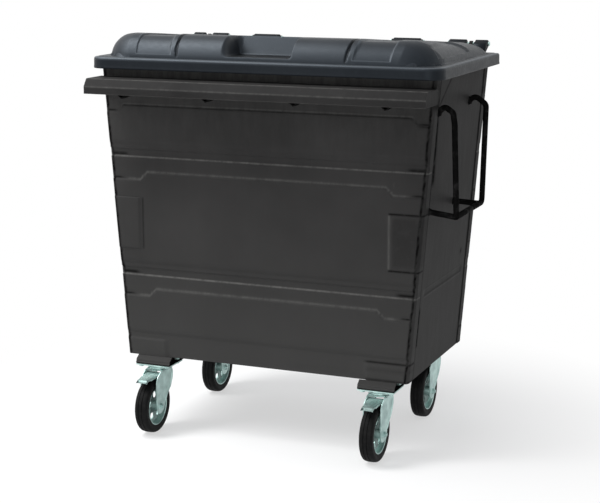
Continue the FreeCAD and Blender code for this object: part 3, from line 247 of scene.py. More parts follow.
def softened(corners, keep=0.28):
    """Closed outline with its corners cut three times, as corner cutting rounds a polygon."""
    line = np.asarray(corners, float)
    for _ in range(3):
        ahead = np.roll(line, -1, axis=0)
        line = np.stack([line * (1.0 - keep) + ahead * keep, line * keep + ahead * (1.0 - keep)],
                        axis=1).reshape(-1, 2)
    return line


def carried(line, xs, shift=0.0):
    """Closed outline in Y and Z repeated at places across X, with n-sided ends."""
    line, xs = np.asarray(line, float), np.asarray(xs, float)
    points = np.zeros((len(xs), len(line), 3))
    points[:, :, 1:] = line[None, :, :] + shift
    points[:, :, 0] = xs[:, None]
    faces = quads(len(xs), len(line), wrap_columns=True).tolist()
    return points.reshape(-1, 3), faces + end_faces(len(xs), len(line))


def plate_across(line, x_from, x_to):
    """Flat plate: a closed outline in Y and Z carried between two places across X."""
    return carried(line, [x_from, x_to])


# ---- finishes ----------------------------------------------------------------------------------

def node(tree, kind, settings=None, **inputs):
    """Add a node: plain values set its sockets, and another node's socket is linked to them."""
    made = tree.nodes.new(kind)
    for key, value in (settings or {}).items():
        setattr(made, key, value)
    for key, value in inputs.items():
        socket = made.inputs[int(key[1:])] if key[0] == "_" else made.inputs[key.replace("_", " ")]
        if isinstance(value, bpy.types.NodeSocket):
            tree.links.new(value, socket)
        else:
            socket.default_value = value
    return made


def grain(tree, place, scale, detail=4.0, stretch=(1.0, 1.0, 1.0), rough=0.55):
    """Noise on the piece's own coordinates, stretched along an axis."""
    spread = node(tree, "ShaderNodeMapping", Vector=place, Scale=stretch)
    return node(tree, "ShaderNodeTexNoise", Vector=spread.outputs[0], Scale=scale, Detail=detail,
                Roughness=rough).outputs[0]


def between(tree, value, low, high, to_low=0.0, to_high=1.0):
    """Value carried from one range to another and clamped."""
    return node(tree, "ShaderNodeMapRange", Value=value, From_Min=low, From_Max=high, To_Min=to_low,
                To_Max=to_high).outputs[0]


def blend_colours(tree, share, first, second):
    """Mix of two colours by a share."""
    return node(tree, "ShaderNodeMix", {"data_type": "RGBA"}, _0=share, _6=first,
                _7=second).outputs[2]


def product(tree, first, second):
    """Two values multiplied."""
    return node(tree, "ShaderNodeMath", {"operation": "MULTIPLY"}, _0=first, _1=second).outputs[0]


def marked(tree, word):
    """Value of a mark that a piece carries on its points, 0 where it has none."""
    return node(tree, "ShaderNodeAttribute", {"attribute_name": word}).outputs["Fac"]


def start_finish(name, **constants):
    """Empty material with its shader, object coordinates and the constants set on the shader."""
    material = bpy.data.materials.new(name)
    material.use_nodes = True
    tree = material.node_tree
    shader = tree.nodes["Principled BSDF"]
    for key, value in constants.items():
        shader.inputs[key.replace("_", " ")].default_value = value
    place = node(tree, "ShaderNodeTexCoord").outputs["Object"]
    return material, tree, shader, place


def bumps(tree, shader, *layers):
    """Layers of (height, strength, distance) that follow one another into the shader's normal."""
    normal = None
    for height, strength, distance in layers:
        extra = {} if normal is None else {"Normal": normal}
        normal = node(tree, "ShaderNodeBump", Height=height, Strength=strength, Distance=distance,
                      **extra).outputs[0]
    tree.links.new(normal, shader.inputs["Normal"])


def body_paint():
    """Charcoal coat on pressed steel: mottled, streaked, scuffed and paler low down, with an orange-peel skin,
    painted highlights and painted shade.
    """
    material, tree, shader, place = start_finish("charcoal_coat", Specular_IOR_Level=0.02)
    broad = grain(tree, place, 2.4, 3.0)
    streaks = grain(tree, place, 9.0, 5.0, (6.0, 6.0, 0.5))
    scuff = grain(tree, place, 46.0, 8.0, (1.0, 1.0, 0.25), 0.7)
    base = blend_colours(tree, between(tree, broad, 0.35, 0.65), (0.0235, 0.0230, 0.0228, 1.0),
                         (0.0320, 0.0312, 0.0308, 1.0))
    toned = blend_colours(tree, between(tree, streaks, 0.52, 0.80, 0.0, 0.06), base,
                           (0.050, 0.049, 0.047, 1.0))
    # Paler towards the bottom.
    height = node(tree, "ShaderNodeSeparateXYZ", Vector=place).outputs["Z"]
    toned = blend_colours(tree, between(tree, height, 1.00, 0.35, 0.0, 0.55), toned,
                           (0.052, 0.0515, 0.050, 1.0))
    rubbed = blend_colours(tree, between(tree, scuff, 0.68, 0.80, 0.0, 0.5), toned,
                           (0.085, 0.084, 0.080, 1.0))
    # Painted highlights on edges and lips, broken up by the scuff noise.
    painted_light = product(tree, marked(tree, "painted_light"), between(tree, scuff, 0.35, 0.60, 0.35, 1.0))
    bright = blend_colours(tree, painted_light, rubbed, (0.14, 0.138, 0.132, 1.0))
    broken = between(tree, grain(tree, place, 34.0, 7.0, rough=0.7), 0.36, 0.50, 0.60, 1.0)
    # Painted shade in creases, seams, recesses and under parts, broken up by noise; it also takes the reflection
    # away.
    shade_share = product(tree, marked(tree, "painted_shade"), broken)
    shaded = blend_colours(tree, shade_share, bright, (0.0022, 0.0022, 0.0022, 1.0))
    tree.links.new(shaded, shader.inputs["Base Color"])
    tree.links.new(between(tree, shade_share, 0.0, 1.0, 0.02, 0.0), shader.inputs["Specular IOR Level"])
    tree.links.new(between(tree, streaks, 0.3, 0.7, 0.48, 0.54), shader.inputs["Roughness"])
    bumps(tree, shader, (grain(tree, place, 16.0, 2.0), 0.35, 0.0016),
          (grain(tree, place, 420.0, 3.0), 0.30, 0.0004))
    return material


def lid_plastic():
    """Dark blue-grey moulded plastic with a fine grain, with painted highlights along its edge lines and painted
    shade in its slot, ledge, seams and skirt.
    """
    material, tree, shader, place = start_finish("lid_plastic", Specular_IOR_Level=0.27,
                                                   Specular_Tint=(0.74, 0.87, 1.0, 1.0))
    broad = grain(tree, place, 5.0, 4.0)
    bloom = grain(tree, place, 70.0, 6.0, rough=0.65)
    base = blend_colours(tree, between(tree, broad, 0.35, 0.68), (0.0070, 0.0085, 0.0110, 1.0),
                         (0.0120, 0.0140, 0.0170, 1.0))
    tinted = blend_colours(tree, between(tree, bloom, 0.56, 0.80, 0.0, 0.4), base,
                           (0.030, 0.034, 0.040, 1.0))
    # Painted highlight, then painted shade that also dims the reflection.
    bright = blend_colours(tree, marked(tree, "painted_light"), tinted, (0.110, 0.126, 0.142, 1.0))
    dark = blend_colours(tree, marked(tree, "painted_shade"), bright, (0.0012, 0.0014, 0.0018, 1.0))
    tree.links.new(dark, shader.inputs["Base Color"])
    tree.links.new(between(tree, marked(tree, "painted_shade"), 0.0, 1.0, 0.27, 0.04),
                   shader.inputs["Specular IOR Level"])
    tree.links.new(between(tree, bloom, 0.3, 0.7, 0.40, 0.52), shader.inputs["Roughness"])
    bumps(tree, shader, (grain(tree, place, 22.0, 3.0), 0.25, 0.001),
          (grain(tree, place, 650.0, 2.0), 0.35, 0.0004))
    return material


def zinc_plate():
    """Passivated zinc: pale blue-green metal, clouded and faintly brushed, with painted shade darkening the
    wheel's inner disc and the fork's race.
    """
    material, tree, shader, place = start_finish("zinc_plate", Metallic=0.85)
    cloud = grain(tree, place, 26.0, 5.0)
    fine = grain(tree, place, 150.0, 4.0, (1.0, 1.0, 0.3))
    base = blend_colours(tree, between(tree, cloud, 0.35, 0.65), (0.33, 0.46, 0.44, 1.0),
                         (0.54, 0.70, 0.67, 1.0))
    stained = blend_colours(tree, between(tree, fine, 0.60, 0.80, 0.0, 0.45), base,
                            (0.26, 0.30, 0.28, 1.0))
    # Painted shade: dark teal where the marks say shade.
    dark = blend_colours(tree, marked(tree, "painted_shade"), stained, (0.020, 0.036, 0.036, 1.0))
    tree.links.new(dark, shader.inputs["Base Color"])
    tree.links.new(between(tree, cloud, 0.3, 0.7, 0.40, 0.55), shader.inputs["Roughness"])
    bumps(tree, shader, (fine, 0.25, 0.0004))
    return material


def tyre_rubber():
    """Solid black rubber with a dusty bloom and small pits."""
    material, tree, shader, place = start_finish("tyre_rubber", Specular_IOR_Level=0.08)
    dust = grain(tree, place, 60.0, 6.0)
    base = blend_colours(tree, between(tree, dust, 0.45, 0.75), (0.0045, 0.0046, 0.0048, 1.0),
                         (0.0120, 0.0118, 0.0115, 1.0))
    tree.links.new(base, shader.inputs["Base Color"])
    tree.links.new(between(tree, dust, 0.3, 0.7, 0.50, 0.68), shader.inputs["Roughness"])
    bumps(tree, shader, (grain(tree, place, 300.0, 4.0), 0.4, 0.0005))
    return material


SLOT_FINISHES = {"body_paint": body_paint(), "lid_plastic": lid_plastic(),
                 "zinc_plate": zinc_plate(), "tyre_rubber": tyre_rubber()}

for part in frame["record"]["subparts"]:
    carried_over = NODES[part["node"]].data
    carried_over.materials.clear()
    carried_over.materials.append(SLOT_FINISHES[part["material_slot"]])


# ---- the container's own measures --------------------------------------------------------------

panel_low, panel_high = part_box("front_panel")
rear_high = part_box("rear_panel")[1]
lid_low, lid_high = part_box("lid_shell")
MIDDLE = (panel_low.x + panel_high.x) / 2.0
BASE_Z = panel_low.z
TOP_Z = panel_high.z
TOP_HALF = (panel_high.x - panel_low.x) / 2.0
BASE_HALF = 0.543
POCKET_RISE = 0.009
FRONT_Y = panel_low.y + POCKET_RISE
REAR_Y = rear_high.y - POCKET_RISE
SHEET = 0.002
SWAGE = 0.005
CORNER = 0.010
FLANGE = 0.044


def half_width(z):
    """Half of the body's flared width at a height."""
    return BASE_HALF + (z - BASE_Z) * (TOP_HALF - BASE_HALF) / (TOP_Z - BASE_Z)


# ---- pressed front and rear panels -------------------------------------------------------------

GROOVES = (0.299, 0.733)
GROOVE_WIDTH = 0.028
FOOT_HEIGHT = 0.066
FOOT_LENGTH = 0.158
POCKET = (0.394, 0.591)
POCKET_LENGTH = 0.108
POCKET_INNER = half_width(BASE_Z + POCKET[0]) - POCKET_LENGTH
FIELD_STEP = 0.027
STEP_RUN = 0.028
# Each field: its lowest and highest level above the floor, and where its middle rises from the end.
FIELDS = ((0.080, 0.252, 0.110), (0.341, 0.680, 0.116), (0.775, 0.922, 0.046))
RAMP = 0.007


def end_fall(reach, inset):
    """How far a field's top edge has fallen at a distance from the panel's end."""
    return np.clip((inset + STEP_RUN - reach) / STEP_RUN, 0.0, 1.0) * FIELD_STEP


def panel_relief(x, z):
    """How far a pressed panel stands out of its plane.

    Each field is a smooth step of the distance to its nearest edge, whose top edge falls by a slope
    towards the ends; grooves, end pockets and feet are products of smooth steps.
    """
    level = z - BASE_Z
    reach = half_width(z) - np.abs(x)
    relief = np.zeros_like(x)
    for low, high, inset in FIELDS:
        fall = end_fall(reach, inset)
        inside = np.minimum((level - low) * 0.5, high - fall - level)
        relief = np.maximum(relief, SWAGE * ease(inside, RAMP))
    in_pocket = np.minimum(level - POCKET[0], POCKET[1] - level)
    from_inner = np.where(x > 0.0, x - POCKET_INNER, (-x - POCKET_INNER) * 0.3)
    in_pocket = np.minimum(in_pocket, from_inner)
    relief = np.maximum(relief, POCKET_RISE * ease(in_pocket, RAMP))
    in_foot = np.minimum(FOOT_HEIGHT - level, np.abs(x) - (BASE_HALF - FOOT_LENGTH))
    relief = np.maximum(relief, SWAGE * ease(in_foot, RAMP))
    for low in GROOVES:
        in_groove = np.minimum(level - low + RAMP / 2.0, low + GROOVE_WIDTH + RAMP / 2.0 - level)
        relief = relief - (SWAGE + relief) * ease(in_groove, RAMP)
    return relief


def line_mark(distance, width):
    """Soft line: the bell curve exp(-(distance / width)^2)."""
    return np.exp(-(distance / width) ** 2)


def panel_marks(x, z):
    """Painted shade and painted light of a pressed panel, as smooth lines along its bends and grooves.

    Painted highlights lie on the lower lip of each groove, the top edge of each field and the pocket's
    inner edge. Painted shade lies along the corner bends, at the ends of the grooves and of the fields'
    edges, over the pocket's edges and above the feet.
    """
    level = z - BASE_Z
    reach = half_width(z) - np.abs(x)
    patchy = 0.80 + 0.20 * np.sin(level * 41.0 + np.sin(level * 97.0) * 2.0)
    jog = 0.0012 * np.sin(level * 63.0 + 1.5 * np.sin(level * 150.0))
    # Painted shade along the corner bend.
    painted_shade = np.minimum(1.5 * line_mark(reach - 0.0110 - jog, 0.0040), 1.0) * patchy
    # Paler towards the top.
    painted_light = 0.08 * ease(level - 0.70, 0.25)
    near_end = ease(0.085 - reach, 0.030) * ease(reach - 0.006, 0.004)
    for low in GROOVES:
        painted_light = np.maximum(painted_light, 0.68 * line_mark(level - low - 0.001, 0.0024))
        painted_shade = np.maximum(painted_shade, 0.9 * line_mark(level - low - 0.010, 0.0045) * near_end)
    for low, high, inset in FIELDS:
        fall = end_fall(reach, inset)
        on_edge = line_mark(level - high + fall - 0.001, 0.0045) * ease(reach - 0.05, 0.03)
        painted_light = np.maximum(painted_light, 0.30 * on_edge)
        painted_shade = np.maximum(painted_shade, 0.8 * line_mark(level - high + FIELD_STEP - 0.004, 0.0035)
                           * ease(0.055 - reach, 0.02) * ease(reach - 0.006, 0.004))
    on_pocket = ease(np.abs(x) - POCKET_INNER + 0.004, 0.006) * (x > 0.0)
    upright = ease(level - POCKET[0], 0.01) * ease(POCKET[1] - level, 0.01)
    painted_light = np.maximum(painted_light, 0.34 * line_mark(x - POCKET_INNER - 0.001, 0.0040) * upright)
    painted_shade = np.maximum(painted_shade, 0.55 * line_mark(-x - POCKET_INNER - 0.004, 0.0035) * upright)
    for edge in POCKET:
        painted_shade = np.maximum(painted_shade, 0.85 * line_mark(level - edge, 0.0035) * on_pocket)
    within = ease(level - POCKET[0], 0.02) * ease(POCKET[1] - level, 0.02) * on_pocket
    painted_shade = np.maximum(painted_shade, 0.26 * within * ease(x - POCKET_INNER - 0.010, 0.012))
    over_foot = ease(np.abs(x) - BASE_HALF + FOOT_LENGTH + 0.004, 0.01) * (x > 0.0)
    for edge, share in ((FOOT_HEIGHT, 0.75), (FOOT_HEIGHT - 0.022, 0.45), (0.004, 0.6)):
        painted_shade = np.maximum(painted_shade, share * line_mark(level - edge, 0.004) * over_foot)
    along_foot = ease(x - 0.05, 0.1) * ease(0.33 - x, 0.02)
    painted_shade = np.maximum(painted_shade, 0.5 * line_mark(level - 0.020, 0.004) * along_foot)
    # Painted shade in the top corner beside the rail's end.
    painted_shade = np.maximum(painted_shade, 0.7 * ease(level - 0.94, 0.02) * ease(0.022 - reach, 0.008) * patchy)
    # Paler band above the rail.
    painted_light = np.maximum(painted_light, 0.32 * ease(level - 1.000, 0.01))
    return painted_shade_and_light(painted_shade, painted_light)


def pressed_panel(name, plane, outward, seed):
    """U-shaped pressing: a flat run, a quarter-round bend and a turned end on each side.

    The place along the section gives the point and the normal, and the relief moves it along that
    normal. outward is -1 at the front and 1 at the rear.
    """
    level_marks = [0.0, FOOT_HEIGHT]
    for low in GROOVES:
        level_marks += [low, low + GROOVE_WIDTH]
    for low, high, _ in FIELDS:
        level_marks += [low, high, high - FIELD_STEP]
    level_marks += list(POCKET)
    z = spaced(BASE_Z, TOP_Z, 0.014, 0.0024, BASE_Z + np.array(level_marks), 0.009)
    flat_marks = [0.0]
    for mark in (0.995, 0.90, 0.825, 0.79, 0.76):
        flat_marks += [mark, -mark]
    share = spaced(-1.0, 1.0, 0.020, 0.006, flat_marks, 0.030)
    bend = np.linspace(0.0, math.pi / 2.0, 7)[1:]
    turned = np.linspace(CORNER, FLANGE, 5)[1:]
    half = half_width(z)[:, None]
    flat_x = share[None, :] * (half - CORNER)
    bend_x = half - CORNER + CORNER * np.sin(bend)[None, :]
    turned_x = half + 0.0 * turned[None, :]
    end_x = np.concatenate([bend_x, turned_x], axis=1)
    end_back = np.concatenate([CORNER - CORNER * np.cos(bend), turned])[None, :] + 0.0 * half
    x = np.concatenate([-end_x[:, ::-1], flat_x, end_x], axis=1)
    back = np.concatenate([end_back[:, ::-1], 0.0 * flat_x, end_back], axis=1)
    side = np.clip((np.abs(x) - half + CORNER) / CORNER, 0.0, 1.0) * np.sign(x)
    out = np.sqrt(1.0 - side ** 2)
    height = np.repeat(z[:, None], x.shape[1], axis=1)
    relief = panel_relief(np.clip(x, -half, half), height)
    uneven = waves(x, height, 0.00035, seed) * ease(half - np.abs(x), 0.05)
    stand = relief * (0.15 + 0.85 * out) + uneven - 0.0004

    def skin(depth):
        """The section's surface moved in along its normal."""
        moved = stand - depth
        y = plane + outward * (moved * out - back)
        return joined(MIDDLE + x + side * np.minimum(moved, 0.0), y, height)

    marks = panel_marks(np.clip(x, -half, half), height)
    make(name + "_pressing", name, [closed_sheet(skin(0.0), skin(SHEET), marks)], "root",
         "body_paint", sharp=50.0)


pressed_panel("front_panel", FRONT_Y, -1.0, 3)
pressed_panel("rear_panel", REAR_Y, 1.0, 8)


# ---- lid ---------------------------------------------------------------------------------------

LID_HALF = (lid_high.x - lid_low.x) / 2.0
LID_FRONT = lid_low.y
LID_REAR = LID_FRONT + 0.731
HINGE = next(joint["pos_m"] for joint in frame["joints"] if joint["name"] == "lid_hinge")
LID_BOTTOM = lid_low.z
DECK = LID_BOTTOM + 0.042
LID_WALL = 0.005
RIM_FRONT_RADIUS = 0.060
RIM_REAR_RADIUS = 0.008
CROWN = lid_high.z - DECK
DOME_HALF = LID_HALF - 0.032
DOME_TURN = 0.135
DOME_FRONT = LID_FRONT + 0.058
DOME_REAR = LID_REAR - 0.062
BROW_FOOT = LID_FRONT + 0.020
BROW_RUN = 0.078
EDGE_LEAN = 0.009
GRIP_HALF = 0.120
GRIP_WALL = 0.027
GRIP_SETBACK = 0.085
END_RECESS = (0.335, 0.472)
END_DEPTH = 0.0055
END_SILL = 0.014
END_SEAM = 0.313
RECESS_FOOT = 0.012


def dome_shape(x, y):
    """Height of the dome over the deck, and the painted shade and light of its seams, slot, ledge and sunk panels.

    Three rounded shoulders (ends, brow and rear) are joined as 1 - norm of what each lacks, with
    the front corners turned by a radius in plan, under a crown that falls to the rear. The grip
    recess lowers it to a ledge and a leaning face; each end has a sunk panel above a sill, and a
    seam beside it.
    """
    ends = swell(DOME_HALF - np.abs(x), 0.100, 1.9)
    brow = swell(y - BROW_FOOT, BROW_RUN, 1.7)
    rear = swell(DOME_REAR - y, 0.060, 1.8)
    lack = ((1.0 - ends) ** 1.9 + (1.0 - brow) ** 1.9 + (1.0 - rear) ** 1.9) ** (1.0 / 1.9)
    from_end = np.maximum(DOME_TURN - DOME_HALF + np.abs(x), 0.0)
    from_front = np.maximum(DOME_TURN - y + BROW_FOOT, 0.0)
    lack = np.maximum(lack, 1.0 - swell(DOME_TURN - np.hypot(from_end, from_front), 0.078, 1.8))
    fall = np.clip((y - DOME_FRONT - 0.082) / 0.469, 0.0, 1.0)
    dome = (CROWN - 0.037 * fall) * np.clip(1.0 - lack, 0.0, 1.0)

    grip_face = RECESS_FOOT + np.clip((y - DOME_FRONT - GRIP_SETBACK) * 1.9, 0.0, 1.0)
    in_grip = ease(x + GRIP_HALF + GRIP_WALL, GRIP_WALL) * ease(GRIP_HALF - x, 0.010)
    dome = dome - in_grip * np.maximum(dome - grip_face, 0.0)

    out_x = np.abs(x) - EDGE_LEAN * dome / CROWN
    distance = np.minimum(out_x - END_RECESS[0], END_RECESS[1] - out_x)
    distance = np.minimum(distance, (dome - END_SILL) * 0.8)
    dome = dome - END_DEPTH * ease(distance, 0.0045)

    slot = np.minimum.reduce([x + 0.035, 0.085 - x, y - DOME_FRONT - 0.030, DOME_FRONT + 0.044 - y])
    dome = dome - 0.0100 * ease(slot, 0.003)

    seam = ease(0.0065 - np.abs(out_x - END_SEAM), 0.004)
    dome = dome - 0.0080 * seam * ease(dome, 0.02)

    in_cheek = np.minimum.reduce([y - DOME_FRONT - 0.052, DOME_FRONT + 0.407 - y, dome - 0.020,
                                  0.066 - dome])
    on_end = ease(np.abs(x) - DOME_HALF + 0.10, 0.01)
    dome = dome - 0.0070 * ease(in_cheek, 0.006) * on_end
    # Painted shade in the slot, on the grip's ledge and in the seams; painted highlight along the sunk panels'
    # edges.
    on_ledge = in_grip * ease(RECESS_FOOT + 0.0025 - dome, 0.002) \
        * ease(y - BROW_FOOT - 0.003, 0.003) * (y < DOME_FRONT + GRIP_SETBACK)
    painted_shade = np.maximum.reduce([0.95 * ease(slot, 0.003), 0.72 * on_ledge,
                               0.7 * seam * ease(dome, 0.01)])
    painted_light = 0.42 * line_mark(distance - 0.0004, 0.0017) * (dome > END_SILL * 0.8)
    return dome, painted_shade_and_light(painted_shade, painted_light)


def rim_line(inset, straight_x, straight_y, arc):
    """Rounded rectangle of the lid's rim moved in by an inset, as one closed ring of points.

    straight_x and straight_y are the places along the front and the sides; each corner is a quarter
    arc whose radius is what the inset leaves of the corner's own.
    """
    front_radius = max(RIM_FRONT_RADIUS - inset, 0.0)
    rear_radius = max(RIM_REAR_RADIUS - inset, 0.0)
    left, right = -LID_HALF + inset, LID_HALF - inset
    front, rear = LID_FRONT + inset, LID_REAR - inset

    def run(places, low, high):
        """Places of the inner edge spread over a straight run of the ring."""
        share = (places - places[0]) / (places[-1] - places[0])
        return low + share * (high - low)

    def corner(x, y, radius, along, across):
        """Quarter arc about a corner's centre."""
        return joined(x + radius * along, y + radius * across)

    quarter = np.linspace(0.0, math.pi / 2.0, arc)
    sine, cosine = np.sin(quarter), np.cos(quarter)
    front_x = run(straight_x, left + front_radius, right - front_radius)
    rear_x = run(straight_x, left + rear_radius, right - rear_radius)
    side_y = run(straight_y, front + front_radius, rear - rear_radius)
    return np.concatenate([
        joined(front_x, front),
        corner(right - front_radius, front + front_radius, front_radius, sine, -cosine),
        joined(right, side_y),
        corner(right - rear_radius, rear - rear_radius, rear_radius, cosine, sine),
        joined(rear_x[::-1], rear),
        corner(left + rear_radius, rear - rear_radius, rear_radius, -sine, cosine),
        joined(left, side_y[::-1]),
        corner(left + front_radius, front + front_radius, front_radius, -cosine, -sine)])


def lid():
    """Lid: an outer skin and an inner skin, each a dome on a grid and rings out to the rim.

    The rings follow a profile of (inset, height) that comes out over the deck, rounds over the edge
    and goes down the skirt; the inner skin is a wall's thickness under the outer one.
    """
    edge = 0.060
    marks_x = [0.0, -GRIP_HALF - GRIP_WALL, -GRIP_HALF, GRIP_HALF]
    for mark in (*END_RECESS, END_RECESS[0] - 0.022):
        marks_x += [mark, -mark]
    x = spaced(-LID_HALF + edge, LID_HALF - edge, 0.0085, 0.0022, marks_x, 0.009)
    from_edge = np.linspace(0.0, 0.11, 30)
    x = merged(x, -LID_HALF + edge + from_edge, LID_HALF - edge - from_edge)
    front_end, rear_end = DOME_FRONT + 0.15, DOME_REAR - 0.06
    y = merged(np.linspace(LID_FRONT + edge, front_end, 68), np.linspace(front_end, rear_end, 38),
               np.linspace(rear_end, LID_REAR - edge, 18))
    grid_x, grid_y = np.meshgrid(x, y)
    # (inset, height over the deck) from the inner edge of the rings, over the rim and down it.
    on_deck = (0.0600, 0.0560, 0.0520, 0.0480, 0.0440, 0.0410, 0.0385, 0.0360, 0.0335, 0.0310,
               0.0285, 0.0262, 0.0242, 0.0226, 0.0214, 0.0206, 0.0200, 0.0186)
    outer = [(inset, 0.0) for inset in on_deck]
    outer += [(0.0172, -0.0006), (0.0160, -0.0016), (0.0100, -0.0018), (0.0060, -0.0026),
             (0.0030, -0.0048), (0.0014, -0.0080), (0.0010, -0.0140), (0.0009, -0.0300),
             (0.0004, -0.0345), (0.0000, -0.0370), (0.0000, -0.0408), (0.0010, -0.0420)]
    inner = [(0.0042, -0.0420), (0.0052, -0.0400), (0.0055, -0.0300), (0.0058, -0.0120),
             (0.0090, -0.0074), (0.0200, -0.0062), (0.0440, -0.0055), (0.0600, -0.0055)]
    rings = []
    for inset, height in outer + inner:
        ring = rim_line(inset, x, y, 12)
        rings.append(np.column_stack([ring, np.full(len(ring), DECK + height)]))
    count = len(rings[0])
    ring_points = np.array(rings)
    over_deck, ring_marks = dome_shape(ring_points[:, :, 0], ring_points[:, :, 1])
    profile = np.array(outer + inner)[:, 1]
    # Painted shade down the skirt and a painted highlight along the rim's top edge.
    rim_marks = painted_shade_and_light(0.42 * ease(-0.0070 - profile, 0.004),
                       0.55 * line_mark(profile + 0.0030, 0.0016))
    ring_marks = np.maximum(ring_marks, rim_marks[:, None, :])
    inner_side = np.arange(len(rings))[:, None] >= len(outer)
    ring_points[:, :, 2] += np.where(inner_side, np.maximum(over_deck - LID_WALL, 0.0), over_deck)
    ring_points[:, :, 0] += MIDDLE
    ring_faces = quads(len(rings), count, wrap_columns=True)

    height, marks = dome_shape(grid_x, grid_y)
    settled = waves(grid_x, grid_y, 0.00025, 5) * ease(height, 0.02)
    top_z = DECK + height + settled - 0.0003 * ease(height, 0.02)
    top = joined(grid_x + MIDDLE, grid_y, top_z)
    slope = np.hypot(*np.gradient(height, y, x))
    wall = LID_WALL * np.sqrt(1.0 + np.minimum(slope, 2.0) ** 2)
    under = np.where(height > 1e-5, np.maximum(height - wall, 0.0), 0.0) - 0.0055
    under_grid = joined(grid_x + MIDDLE, grid_y, DECK + under)
    grid_faces = quads(len(y), len(x))
    return [(top, grid_faces, marks), (under_grid, grid_faces),
            (ring_points, ring_faces, ring_marks)]


def knuckle(start, length):
    """Hinge barrel on the lid's rear edge: a D-shaped section carried across, with rounded ends."""
    turn = np.linspace(math.radians(-35.0), math.radians(140.0), 22)
    axis_y, axis_z, radius = HINGE[1], HINGE[2], 0.0140
    arc = joined(axis_y + radius * np.cos(turn), axis_z + radius * np.sin(turn))
    foot = np.array([[LID_REAR - 0.0005, DECK + 0.034], [LID_REAR - 0.0080, DECK + 0.026],
                     [LID_REAR - 0.0120, DECK + 0.012], [LID_REAR - 0.0150, DECK + 0.002],
                     [LID_REAR - 0.0150, DECK - 0.004], [LID_REAR - 0.0045, DECK - 0.004]])
    line = np.concatenate([arc, foot])
    xs = start + np.array([0.0, 0.0012, 0.0035, length / 2.0, length - 0.0035, length - 0.0012,
                           length])
    shrink = np.array([0.88, 0.955, 1.0, 1.0, 1.0, 0.955, 0.88])
    centre = np.array([axis_y, axis_z - 0.006])
    shift = (line[None, :, :] - centre) * (shrink[:, None, None] - 1.0)
    points, faces = carried(line, MIDDLE + xs, shift)
    # Painted shade over the whole barrel.
    return points, faces, painted_shade_and_light(np.full(len(points), 0.60))


knuckles = []
for hand in (-1.0, 1.0):
    for inner, outer in ((0.5535, 0.6015), (0.4535, 0.5205), (0.2340, 0.3420)):
        knuckles.append(knuckle(min(hand * inner, hand * outer), outer - inner))
make("lid_moulding", "lid_shell", lid() + knuckles, "lid", "lid_plastic", sharp=42.0)


# ---- lifting rail ------------------------------------------------------------------------------

def offset_outline(middle, wall):
    """Closed outline of a folded sheet: its middle line moved half a wall to either side."""
    ahead = np.gradient(middle, axis=0)
    ahead /= np.linalg.norm(ahead, axis=1)[:, None]
    across = joined(-ahead[:, 1], ahead[:, 0]) * wall / 2.0
    return np.concatenate([middle + across, (middle - across)[::-1]])


def folded_sheet(corners, wall, radius, step):
    """Closed outline, in Y and Z, of a sheet folded through corners with one bend radius."""
    path = rounded_path([(0.0, y, z) for y, z in corners], radius, step)
    return offset_outline(path[:, 1:], wall)


def lifting_rail():
    """Rail folded from sheet, with a soft unevenness along it, painted highlights on its rolled edges and painted
    shade all over.
    """
    low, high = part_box("lifting_rail")
    wall = 0.003
    middle_z = high.z - wall / 2.0
    face_y = low.y + wall / 2.0
    line = folded_sheet([(high.y, middle_z), (low.y + 0.0205, middle_z), (face_y, high.z - 0.0275),
                         (face_y, low.z)], wall, 0.0055, 0.0022)
    xs = np.linspace(low.x, high.x, 120)
    free = ease(high.y - line[:, 0], 0.04)
    lift = waves(xs, 0.0 * xs + 0.4, 0.0005, 12)
    shift = np.zeros((len(xs), len(line), 2))
    shift[:, :, 1] = np.minimum(lift[:, None] * free[None, :], 0.0)
    points, faces = carried(line, xs, shift)
    fold = line_mark(np.hypot(line[:, 0] - low.y - 0.021, line[:, 1] - high.z), 0.0030)
    bend = line_mark(np.hypot(line[:, 0] - low.y, line[:, 1] - high.z + 0.028), 0.0026)
    foot = line_mark(line[:, 1] - low.z, 0.0012)
    # Painted highlights on the fold, the bend and the foot; painted shade evenly over the rail.
    painted_light = np.tile(0.60 * np.maximum(fold, np.maximum(0.7 * bend, 0.6 * foot)), len(xs))
    make("lifting_rail_fold", "lifting_rail", [(points, faces, painted_shade_and_light(0.22, painted_light))], "root",
         "body_paint", sharp=40.0)


lifting_rail()


# ---- sides, hinge brackets, gussets and caster brackets ----------------------------------------

SIDE_GROOVE = (0.292, 0.318)


